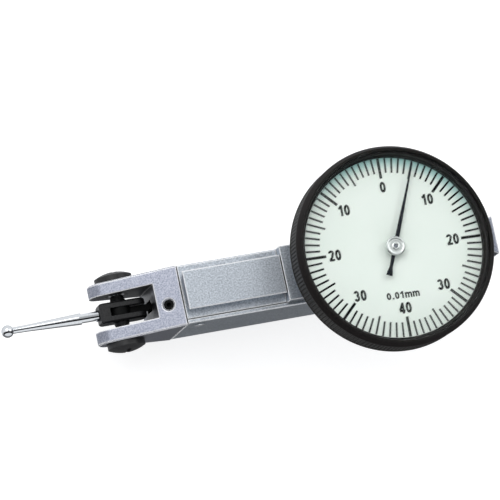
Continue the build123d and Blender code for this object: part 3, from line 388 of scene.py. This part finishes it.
finishOfNode = {
    "body_housing": blastedChrome,
    "side_cover": blastedChrome,
    "dial_case": blastedChrome,
    "rear_dovetail": groundChrome,
    "fork_head": groundChrome,
    "side_cover_screws": polishedSteel,
    "head_set_screw": shadedBlackSteel,
    "pivot_screw_upper": blackenedSteel,
    "pivot_screw_lower": blackenedSteel,
    "rear_dovetail_screws": blackenedSteel,
    "stylus_holder": blackenedSteel,
    "pivot_bearings": polishedSteel,
    "measuring_lever": shadedBlackSteel,
    "lever_axle": polishedSteel,
    "lever_drive_pin": polishedSteel,
    "clutch_washers": shadedBlackSteel,
    "bezel_spring_ring": temperedSteel,
    "dial_case_screws": polishedSteel,
    "sector_shaft": polishedSteel,
    "crown_arbor": polishedSteel,
    # The arbor takes the darker tempered steel so that its end, sunk in the hub, reads as a dark dot:
    # painted shade.
    "pointer_arbor": temperedSteel,
    "movement_plate": grainedBrass,
    "movement_plate_screws": bluedSteel,
    "pointer_cock": grainedBrass,
    "pointer_cock_screw": bluedSteel,
    "sector_lever": grainedBrass,
    "crown_gear": grainedBrass,
    "hairspring_collet": grainedBrass,
    "hairspring_stud": grainedBrass,
    "hairspring": rolledBronze,
    "jewel_bearings": ruby,
    "crystal_seal": mouldedRubber,
}
for nodeName, finish in finishOfNode.items():
    slots = nodes[nodeName].material_slots
    if not slots:
        nodes[nodeName].data.materials.append(finish)
    for slot in slots:
        slot.material = finish


# Bezel

print("bezel")

bezelLow, bezelHigh = nodeBox("bezel")
ringLow, ringHigh = nodeBox("bezel_spring_ring")
dialLow, dialHigh = nodeBox("dial_face")
crystalLow, crystalHigh = nodeBox("crystal")
sealFoot = nodeBox("crystal_seal")[0][2]
caseHigh = nodeBox("dial_case")[1]

bezel = {
    "knurls": 168,
    "knurlDepth": 0.13,
    "knurlLow": 0.45,       # above the skirt's foot
    "sideHigh": 4.4,        # the side's upper edge, above the foot
    "knurlShort": 0.35,     # the knurl ends this far below that edge
    "knurlFade": 0.15,      # over this height it grows out of the plain side
    "knurlSkin": 0.01,      # only points this close to the full radius are knurled
    "samplesPerKnurl": 6,
    "crestWidth": 0.3,
    "mouthFlare": 0.15,
    "seatWidth": 0.3,
    "windowGap": 0.1,       # between the dial's edge and the ring round it
    "boreGap": 0.08,
    "ledgeWidth": 0.65,
    "sharp": 0.0001,        # rounding of the corners that only divide the side
    "insideRound": 0.02,
}
windowRadius = dialHigh[0] + bezel["windowGap"]


# Knurling: inside the side band each ridge is a triangle wave round the turn, faded at both ends
def knurl(height, angle, radius):
    wave = np.abs((angle * bezel["knurls"] / (2 * np.pi)) % 1 - 0.5) * 2
    low = bezelLow[2] + bezel["knurlLow"]
    high = bezelLow[2] + bezel["sideHigh"] - bezel["knurlShort"]
    fadeIn = np.clip((height - low) / bezel["knurlFade"], 0, 1)
    fadeOut = np.clip((high - height) / bezel["knurlFade"], 0, 1)
    outside = radius > bezelHigh[0] - bezel["knurlSkin"]
    return -bezel["knurlDepth"] * wave * fadeIn * fadeOut * outside


# The ring: its section, from the skirt over the crest and down the mouth to the seats of the crystal,
# the dial and the spring ring, turned about the dial's axis
def buildBezel():
    foot = bezelLow[2]
    top = bezelHigh[2]
    outer = bezelHigh[0]
    gap = bezel["boreGap"]
    bore = caseHigh[0] + gap
    ledge = windowRadius - bezel["ledgeWidth"]
    caseTop = caseHigh[2] + gap
    knurlFoot = foot + bezel["knurlLow"]
    sideTop = foot + bezel["sideHigh"]
    knurlTop = sideTop - bezel["knurlShort"]
    seat = crystalHigh[0]
    crest = seat + bezel["mouthFlare"]
    room = ringHigh[0] + gap
    side = [(bore, foot), (outer, foot), (outer, knurlFoot), (outer, knurlFoot + bezel["knurlFade"]),
            (outer, knurlTop - bezel["knurlFade"]), (outer, knurlTop), (outer, sideTop)]
    mouth = [(crest + bezel["crestWidth"], top), (crest, top), (seat, crystalHigh[2]), (seat, sealFoot),
             (seat - bezel["seatWidth"], sealFoot)]
    roomTop, roomFoot = ringHigh[2] + gap, ringLow[2] - gap
    inside = [(windowRadius, dialHigh[2]), (windowRadius, dialLow[2]), (ledge, dialLow[2]),
              (ledge, caseTop), (bore, caseTop), (bore, roomTop), (room, roomTop), (room, roomFoot),
              (bore, roomFoot)]
    radii = [0.05, 0.2] + [bezel["sharp"]] * 4 + [0.25, 0.12, 0.1, 0.05] + [bezel["insideRound"]] * 11
    outline = roundedOutline(side + mouth + inside, radii)[::-1]
    columns = bezel["knurls"] * bezel["samplesPerKnurl"]
    shape = gridShape(turned(outline, columns, knurl), wrapRows=True)
    return makePiece("bezelRing", shape, "bezel_group", lacqueredBezel, ["bezel"])


buildBezel()


# Crystal

print("crystal")

crystal = {"edge": 0.05, "columns": 180, "flatShare": 0.8, "capRadius": 0.5}


# A flat disc of glass with rounded edges: the outline (radius, height) starts and ends near the axis,
# and a cap closes each end
def buildCrystal():
    radius, low, high = crystalHigh[0], crystalLow[2], crystalHigh[2]
    edge, cap = crystal["edge"], crystal["capRadius"]
    flat = radius * crystal["flatShare"]
    quarter = np.linspace(0, np.pi / 2, 5)
    lower = np.stack([radius - edge + edge * np.sin(quarter), low + edge - edge * np.cos(quarter)], -1)
    upper = np.stack([radius - edge + edge * np.cos(quarter), high - edge + edge * np.sin(quarter)], -1)
    outline = np.vstack([[[cap, low], [flat, low]], lower, upper, [[flat, high], [cap, high]]])
    shape = gridShape(turned(outline, crystal["columns"]), capped=True)
    return makePiece("crystalGlass", shape, "bezel_group", crystalFinish(), ["crystal"])


buildCrystal()


# Dial

print("dial")

dial = {
    "turn": -1.75,            # the print's small turn against the body, degrees; below zero is clockwise
    "divisions": 80,
    "tickOuter": 14.3,
    "minorInner": 11.95, "minorWidth": 0.3,
    "middleInner": 11.3, "middleWidth": 0.3,
    "majorInner": 11.1, "majorWidth": 0.44,
    "inkHeight": 0.012, "inkDepth": 0.005,
    "numberRadius": 9.7, "numberHeight": 1.74, "numberWidth": 0.54, "numberStroke": 0.205,
    "textPlace": -7.6, "textHeight": 1.12, "textStroke": 0.23, "textSpread": 1.3,
    "holeRadius": 0.9, "plateEdge": 0.03, "plateColumns": 200,
}


# The plate is a flat ring with its hole for the pointer's arbor
def buildDialPlate():
    low, high, radius = dialLow[2], dialHigh[2], dialHigh[0]
    corners = [(dial["holeRadius"], low), (radius, low), (radius, high), (dial["holeRadius"], high)]
    outline = roundedOutline(corners, [dial["plateEdge"]] * 4, 4)
    shape = gridShape(turned(outline, dial["plateColumns"]), wrapRows=True)
    return makePiece("dialPlate", shape, "bezel_group", dialEnamel, ["dial_face"])


# A printed line: a flat box carried along a path of (x, y) points, its half width square to the
# path's direction, from just under the enamel to the ink's height
def inkLine(path, width):
    path = np.array(path, float)
    along = np.gradient(path, axis=0)
    along /= np.linalg.norm(along, axis=1, keepdims=True)
    across = np.stack([-along[:, 1], along[:, 0]], axis=-1) * width / 2
    low = np.full((len(path), 1), dialHigh[2] - dial["inkDepth"])
    high = low + dial["inkDepth"] + dial["inkHeight"]
    left, right = path + across, path - across
    ring = [np.hstack(corner) for corner in ((right, low), (right, high), (left, high), (left, low))]
    return gridShape(np.stack(ring, axis=1), capped=True)


# Turns points by an angle in degrees about the dial's axis, counterclockwise
def turnPoints(points, degrees):
    angle = math.radians(degrees)
    rotation = np.array([[math.cos(angle), math.sin(angle)], [-math.sin(angle), math.cos(angle)]])
    return np.array(points, float) @ rotation


# The graduation: line n stands n / divisions of a turn clockwise from the print's top
def buildTicks():
    shapes = []
    for number in range(dial["divisions"]):
        size = "major" if number % 10 == 0 else "middle" if number % 5 == 0 else "minor"
        path = [(0, dial[size + "Inner"]), (0, dial["tickOuter"])]
        angle = dial["turn"] - number * 360 / dial["divisions"]
        shapes.append(inkLine(turnPoints(path, angle), dial[size + "Width"]))
    return makePiece("dialGraduations", joinShapes(shapes), "bezel_group", printInk)


# Points of an ellipse's arc, from one angle to another in degrees
def arc(centreX, centreY, radiusX, radiusY, start, end, steps=17):
    angle = np.radians(np.linspace(start, end, steps))
    return np.stack([centreX + radiusX * np.cos(angle), centreY + radiusY * np.sin(angle)], axis=-1)


# Strokes of each character in a box of height 1, as centre lines; half is half the stroke's width
def characterStrokes(character, half):
    top, foot, right = 1 - half, half, dial["numberWidth"] - half
    middle = (half + right) / 2
    reach = (right - half) / 2
    if character == "0":
        return [arc(middle, 0.5, reach, 0.5 - half, -90, 270, 41)]
    if character == "1":
        flag = np.array([(-0.26, 0.70), (-0.14, 0.75), (-0.06, 0.83), (-0.02, 0.93)]) + (middle, 0)
        return [[(middle, 0), (middle, 1)], flag]
    if character == "2":
        bowl = arc(middle, top - reach, reach, reach, 175, -30)
        leg = np.array([bowl[-1], (middle + 0.05, 0.36), (half + 0.04, 0.15), (half + 0.02, foot)])
        return [np.vstack([bowl, leg[1:]]), [(half - 0.06, foot), (right + half, foot)]]
    if character == "3":
        upper = arc(middle - 0.01, top - 0.2, reach * 0.92, 0.2, 160, -90)
        lower = arc(middle, foot + 0.225, reach, 0.225, 90, -165)
        return [upper, lower]
    if character == "4":
        stem = right - 0.06
        return [[(stem, 0), (stem, 1)], [(stem, top + 0.01), (half - 0.03, 0.27 + half * 0.4)],
                [(half - 0.08, 0.25), (right + half, 0.25)]]
    if character == ".":
        return [[(half, 0), (half, 2 * half)]]
    if character == "m":
        width, height = 0.3, 0.68
        arches = [np.vstack([arc(half + width * (k + 0.5), height - 0.16, width / 2, 0.16, 170, 0, 9),
                             [(half + width * (k + 1), 0.0)]]) for k in (0, 1)]
        return [[(half, 0), (half, height + half)]] + arches
    raise ValueError("no strokes for " + character)


# Width that each character takes, in shares of its height
advanceOf = {"0": 0.63, "1": 0.5, "2": 0.63, "3": 0.63, "4": 0.63, ".": 0.3, "m": 0.86}


# A line of characters centred on a point of the dial, upright, as printed lines; spread widens it
def printedText(text, centre, height, stroke, spread=1.0):
    width = sum(advanceOf[c] for c in text) - (advanceOf["0"] - dial["numberWidth"])
    start = -width / 2
    shapes = []
    for character in text:
        for path in characterStrokes(character, stroke / 2):
            points = (np.array(path, float) + (start, -0.5)) * (height * spread, height) + centre
            shapes.append(inkLine(turnPoints(points, dial["turn"]), stroke * height))
        start += advanceOf[character]
    return shapes


# The numbers: one each eighth of a turn, centred at (radius x sin a, radius x cos a), and the unit
def buildNumbers():
    shapes = []
    for number in range(8):
        value = 10 * min(number, 8 - number)    # it rises to 40 and falls back
        angle = math.radians(number * 45)
        centre = (dial["numberRadius"] * math.sin(angle), dial["numberRadius"] * math.cos(angle))
        shapes += printedText(str(value), centre, dial["numberHeight"], dial["numberStroke"])
    shapes += printedText("0.01mm", (0, dial["textPlace"]), dial["textHeight"], dial["textStroke"],
                          dial["textSpread"])
    return makePiece("dialNumbers", joinShapes(shapes), "bezel_group", printInk)


buildDialPlate()
buildTicks()
buildNumbers()


# Pointer and hub

print("pointer")

pointerLow, pointerHigh = nodeBox("pointer")
hubLow, hubHigh = nodeBox("pointer_hub")
pointer = {
    "restAngle": 24.0,        # clockwise from +Y, degrees
    "stations": [-4.8, -4.3, -3.4, -1.5, 1.5, 5.0, 8.0, 13.7, 13.85],
    "halfWidths": [0.5, 0.46, 0.26, 0.3, 0.33, 0.29, 0.2, 0.1, 0.06],
    "rows": 90,
    "bladeEdge": 0.07,        # height of the blade's thin edges
    "ridgeShare": 0.5,        # of the width that its flat top takes
    "crease": 25,
}
hub = {
    "bore": 0.305, "boreChamfer": 0.1,
    "spigotRadius": 0.7,
    "chamferWidth": 0.12, "chamferDepth": 0.08,
    "rimInside": 0.3, "dishOutside": 0.42, "dishDepth": 0.05,      # widths from the collar's edge
    "bossFoot": 0.6, "bossOutside": 0.5, "bossInside": 0.4,        # radii of the raised ring in the dish
    "columns": 96,
    "ringSize": 0.12,         # of the lathe's marks, see facedFinish
}


# The blade: a low roof-shaped section carried along its length, as wide as the stations say
def buildPointer():
    along = np.linspace(pointer["stations"][0], pointer["stations"][-1], pointer["rows"])
    half = np.interp(along, pointer["stations"], pointer["halfWidths"])
    low, high = pointerLow[2], pointerHigh[2]
    eaves = low + pointer["bladeEdge"]
    ridge = pointer["ridgeShare"]
    section = [(1.0, low), (1.0, eaves), (ridge, high), (-ridge, high), (-1.0, eaves), (-1.0, low)]
    ring = [np.stack([half * share, along, np.full_like(along, level)], axis=-1)
            for share, level in section]
    points = np.stack(ring, axis=1)
    points[..., :2] = turnPoints(points[..., :2], -pointer["restAngle"])
    shape = gridShape(points, capped=True)
    return makePiece("pointerBlade", shape, "pointer_spindle", needleLacquer, ["pointer"],
                     pointer["crease"])


# The hub: a turned collar with a dished top and a spigot, open in the middle for the arbor
def buildHub():
    low, top, radius = hubLow[2], hubHigh[2], hubHigh[0]
    foot = pointerHigh[2]
    dish = top - hub["dishDepth"]
    spigot = [(hub["bore"], low), (hub["spigotRadius"], low), (hub["spigotRadius"], foot)]
    collar = [(radius, foot), (radius, top - hub["chamferDepth"]), (radius - hub["chamferWidth"], top),
              (radius - hub["rimInside"], top), (radius - hub["dishOutside"], dish)]
    boss = [(hub["bossFoot"], dish), (hub["bossOutside"], top), (hub["bossInside"], top),
            (hub["bore"], top - hub["boreChamfer"])]
    radii = [0.02, 0.02, 0.02, 0.04, 0.05, 0.05, 0.04, 0.04, 0.04, 0.03, 0.04, 0.03]
    outline = roundedOutline(spigot + collar + boss, radii, 4)
    shape = gridShape(turned(outline, hub["columns"]), wrapRows=True)
    return makePiece("pointerHub", shape, "pointer_spindle", hubSteel, ["pointer_hub"])


# The hub is faced on a lathe: bright rings round its middle. Blender's ring wave is the sine of 20 times
# scale times radius, so the rings lie 2 pi times the hub's ringSize apart.
def facedFinish():
    material, tree, shader, place = newMaterial("steel_latheFaced", {"Metallic": 1.0, "Roughness": 0.3})
    flat = addNode(tree, "ShaderNodeMapping", {"Scale": (1, 1, 0)}, {"Vector": place})
    wave = {"wave_type": "RINGS", "rings_direction": "SPHERICAL", "Scale": 1 / (20 * hub["ringSize"] * mm),
            "Distortion": 1.0}
    rings = addNode(tree, "ShaderNodeTexWave", wave, {"Vector": flat.outputs[0]})
    greys = {"data_type": "RGBA", 6: hexColour("bcc1bf"), 7: hexColour("e0e5e2")}
    colour = addNode(tree, "ShaderNodeMix", greys, {0: rings.outputs["Fac"]})
    relief = addNode(tree, "ShaderNodeBump", {"Strength": 0.5, "Distance": 0.004 * mm},
                     {"Height": rings.outputs["Fac"]})
    tree.links.new(colour.outputs[2], shader.inputs["Base Color"])
    tree.links.new(relief.outputs[0], shader.inputs["Normal"])
    return material


hubSteel = facedFinish()
buildPointer()
buildHub()


# Stylus

print("stylus")

shankLow, shankHigh = nodeBox("stylus_shank")
ballLow = nodeBox("stylus_ball")[0]
stylusAxis = (shankLow[1:] + shankHigh[1:]) / 2
stylus = {
    "pivot": -41.45,          # the pivot's place along X
    "ballRadius": 1.0, "ballRows": 61, "ballColumns": 96,
    "poleGap": 0.02,          # angle left for the cap at each pole, radians
    "noseRadius": 0.3, "noseLength": 0.01,
    "tipRadius": 0.5,
    "neckShare": 1.12,        # of the tip's radius, where the taper starts
    "taperStart": 3.2,        # behind the ball's middle
    "taperEnd": 0.4,          # in front of the flats
    "rootRadius": 0.92,
    "flatBack": 0.5,          # in front of the holder
    "flatLength": 2.4, "flatHalfWidth": 0.65,
    "flatBlend": 0.02,        # half the length over which a flat ends
    "holderReach": 3.45,      # from the pivot to the holder's front
    "chamferStart": 0.12, "chamferEnd": 0.02, "spigotStart": 0.01,     # in front of the holder
    "chamferDepth": 0.1,
    "spigotRadius": 0.69,
    "rows": 70, "sides": 64,
}


# The shank: radius along X by stations, turned about the stylus axis; over the flats no point lies
# farther from the middle plane than the flats' half width
def buildShank():
    nose = shankLow[0]
    tip = stylus["tipRadius"]
    root = stylus["rootRadius"]
    spigot = stylus["spigotRadius"]
    blend = stylus["flatBlend"]
    ballX = ballLow[0] + stylus["ballRadius"]
    holder = stylus["pivot"] - stylus["holderReach"]
    flatEnd = holder - stylus["flatBack"]
    flatStart = flatEnd - stylus["flatLength"]
    taper = [ballX + stylus["taperStart"], flatStart - stylus["taperEnd"]]
    chamfer = [holder - stylus[step] for step in ("chamferStart", "chamferEnd", "spigotStart")]
    stations = [nose, nose + stylus["noseLength"]] + taper + chamfer + [shankHigh[0]]
    neck = tip * stylus["neckShare"]
    radii = [stylus["noseRadius"], tip, neck, root, root, root - stylus["chamferDepth"], spigot, spigot]
    flatEnds = [flatStart - blend, flatStart + blend, flatEnd - blend, flatEnd + blend]
    along = np.unique(np.concatenate([stations, np.linspace(taper[0], holder, stylus["rows"]), flatEnds]))
    radius = np.interp(along, stations, radii)[:, None]
    angle = np.linspace(0, 2 * np.pi, stylus["sides"], endpoint=False)[None, :]
    across = radius * np.cos(angle)
    flat = ((along > flatStart) & (along < flatEnd))[:, None]
    limited = np.clip(across, -stylus["flatHalfWidth"], stylus["flatHalfWidth"])
    across = np.where(flat, limited, across)
    points = np.stack([np.repeat(along[:, None], stylus["sides"], axis=1), stylusAxis[0] + across,
                       stylusAxis[1] + radius * np.sin(angle)], axis=-1)
    shape = gridShape(points[::-1], capped=True)
    return makePiece("stylusShank", shape, "stylus", polishedSteel, ["stylus_shank"])


# The ball: a sphere from rings of latitude about X, closed by small caps at its poles
def buildBall():
    pole = np.pi / 2 - stylus["poleGap"]
    latitude = np.linspace(-pole, pole, stylus["ballRows"])[:, None]
    longitude = np.linspace(0, 2 * np.pi, stylus["ballColumns"], endpoint=False)[None, :]
    radius = stylus["ballRadius"]
    points = np.stack([ballLow[0] + radius + radius * np.sin(latitude) + 0 * longitude,
                       stylusAxis[0] + radius * np.cos(latitude) * np.cos(longitude),
                       stylusAxis[1] + radius * np.cos(latitude) * np.sin(longitude)], axis=-1)
    shape = gridShape(points[::-1], capped=True)
    return makePiece("stylusBall", shape, "stylus", lappedBall, ["stylus_ball"])


buildShank()
buildBall()


# Floor, light and camera

print("studio")

studio = {
    "floorSize": 3.0, "floorDark": "bcbcbc", "floorLight": "c0c0c0", "floorGrain": 2.5, "floorGlow": 0.76,
    "keyPlace": (-0.25, 0.35, 0.75), "keySize": 0.7, "keyPower": 2.75,
    "fillPlace": (0.5, 0.15, 0.6), "fillSize": 0.6, "fillPower": 1.0,
    "lampTarget": (-0.02, 0, 0.01),
    "horizon": 1.05, "zenith": 0.5, "ceilingLow": 0.72, "ceilingHigh": 0.96,
    "underFront": 0.2, "underBack": 0.9, "underTurn": (-0.3, 0.95, 0.0), "underBlend": 0.12,
    "riseLow": -0.45, "riseHigh": 0.02,
    "gapPlace": -0.34, "gapHalf": 0.31, "gapCore": 0.6, "gapShade": 0.02,
    "roomColour": "f6f8fb", "backdrop": 0.95,
}


# A plain sheet of pale paper, which glossy things don't mirror
def buildFloor():
    half = studio["floorSize"] / 2
    mesh = bpy.data.meshes.new("floor")
    corners = [(-half, -half, 0), (half, -half, 0), (half, half, 0), (-half, half, 0)]
    mesh.from_pydata(corners, [], [(0, 1, 2, 3)])
    material, tree, shader, place = newMaterial("paper_floor", {
        "Roughness": 0.9, "Specular IOR Level": 0.0, "Emission Color": (1, 1, 1, 1),
        "Emission Strength": studio["floorGlow"]})
    fibre = {"Scale": 1 / (studio["floorGrain"] * mm)}
    grain = addNode(tree, "ShaderNodeTexNoise", fibre, {"Vector": place})
    greys = {"data_type": "RGBA", 6: hexColour(studio["floorDark"]), 7: hexColour(studio["floorLight"])}
    colour = addNode(tree, "ShaderNodeMix", greys, {0: grain.outputs["Fac"]})
    tree.links.new(colour.outputs[2], shader.inputs["Base Color"])
    mesh.materials.append(material)
    floor = bpy.data.objects.new("floor", mesh)
    bpy.context.scene.collection.objects.link(floor)
    floor.visible_glossy = False


# A round lamp aimed at the middle of the object
def addSoftbox(name, place, size, power):
    light = bpy.data.lights.new(name, "AREA")
    light.shape = "DISK"
    light.size = size
    light.energy = power
    lamp = bpy.data.objects.new(name, light)
    lamp.location = place
    lamp.rotation_euler = (Vector(studio["lampTarget"]) - Vector(place)).to_track_quat("-Z", "Y").to_euler()
    bpy.context.scene.collection.objects.link(lamp)


# The room: brightness follows the direction's height, from the dark floor side through a bright
# horizon to a dimmer ceiling, where a dark gap runs between two rows of lamps along X; below the
# horizon it is lighter towards +Y
def buildRoom():
    world = bpy.data.worlds.new("room")
    bpy.context.scene.world = world
    world.use_nodes = True
    tree = world.node_tree
    tree.nodes.clear()
    direction = addNode(tree, "ShaderNodeTexCoord").outputs["Generated"]
    axes = addNode(tree, "ShaderNodeSeparateXYZ", {}, {0: direction})
    height = {"interpolation_type": "SMOOTHSTEP", "From Min": studio["ceilingLow"],
              "From Max": studio["ceilingHigh"], "To Min": studio["horizon"], "To Max": studio["zenith"]}
    upper = addNode(tree, "ShaderNodeMapRange", height, {"Value": axes.outputs["Z"]})
    towards = addNode(tree, "ShaderNodeVectorMath", {"operation": "DOT_PRODUCT", 1: studio["underTurn"]},
                      {0: direction})
    under = {"interpolation_type": "SMOOTHSTEP",
             "From Min": -studio["underBlend"], "From Max": studio["underBlend"],
             "To Min": studio["underFront"], "To Max": studio["underBack"]}
    lower = addNode(tree, "ShaderNodeMapRange", under, {"Value": towards.outputs["Value"]})
    climb = {"interpolation_type": "SMOOTHSTEP",
             "From Min": studio["riseLow"], "From Max": studio["riseHigh"]}
    rise = addNode(tree, "ShaderNodeMapRange", climb, {"Value": axes.outputs["Z"]})
    offset = addNode(tree, "ShaderNodeMath", {"operation": "SUBTRACT", 1: studio["gapPlace"]},
                     {0: axes.outputs["Y"]})
    distance = addNode(tree, "ShaderNodeMath", {"operation": "ABSOLUTE"}, {0: offset.outputs[0]})
    aisle = {"interpolation_type": "SMOOTHSTEP", "From Min": studio["gapCore"] * studio["gapHalf"],
             "From Max": studio["gapHalf"], "To Min": studio["gapShade"]}
    gap = addNode(tree, "ShaderNodeMapRange", aisle, {"Value": distance.outputs[0]})
    ceiling = addNode(tree, "ShaderNodeMath", {"operation": "MULTIPLY"},
                      {0: upper.outputs[0], 1: gap.outputs[0]})
    strength = addNode(tree, "ShaderNodeMix", {"data_type": "FLOAT"},
                       {0: rise.outputs[0], 2: lower.outputs[0], 3: ceiling.outputs[0]})
    # Looked at directly, the room is a plain pale backdrop
    straight = addNode(tree, "ShaderNodeLightPath").outputs["Is Camera Ray"]
    seen = addNode(tree, "ShaderNodeMix", {"data_type": "FLOAT", 3: studio["backdrop"]},
                   {0: straight, 2: strength.outputs[0]})
    background = addNode(tree, "ShaderNodeBackground", {"Color": hexColour(studio["roomColour"])},
                         {"Strength": seen.outputs[0]})
    addNode(tree, "ShaderNodeOutputWorld", {}, {"Surface": background.outputs[0]})


# Camera from the photograph's perspective: its axes in the frame, and its focal length in pixels
view = {
    "place": (-0.1637, -0.0827, 0.5494),
    "up": (0.1613, 0.966, 0.2019),
    "back": (-0.2562, -0.1566, 0.9538),
    "focalPixels": 3552.55, "imagePixels": 500, "sensor": 36.0,
    "nearest": 0.01, "farthest": 20,
}


# The camera looks against the back axis; its lens is focal pixels / image pixels x sensor width
def buildCamera():
    back = Vector(view["back"]).normalized()
    right = Vector(view["up"]).cross(back).normalized()
    up = back.cross(right)
    data = bpy.data.cameras.new("camera")
    data.sensor_width = view["sensor"]
    data.lens = view["focalPixels"] / view["imagePixels"] * view["sensor"]
    data.clip_start = view["nearest"]
    data.clip_end = view["farthest"]
    camera = bpy.data.objects.new("camera", data)
    axes = Matrix((right, up, back)).transposed().to_4x4()
    camera.matrix_world = Matrix.Translation(view["place"]) @ axes
    bpy.context.scene.collection.objects.link(camera)
    bpy.context.scene.camera = camera


buildFloor()
addSoftbox("key", studio["keyPlace"], studio["keySize"], studio["keyPower"])
addSoftbox("fill", studio["fillPlace"], studio["fillSize"], studio["fillPower"])
buildRoom()
buildCamera()
bpy.context.scene.view_settings.view_transform = "Standard"
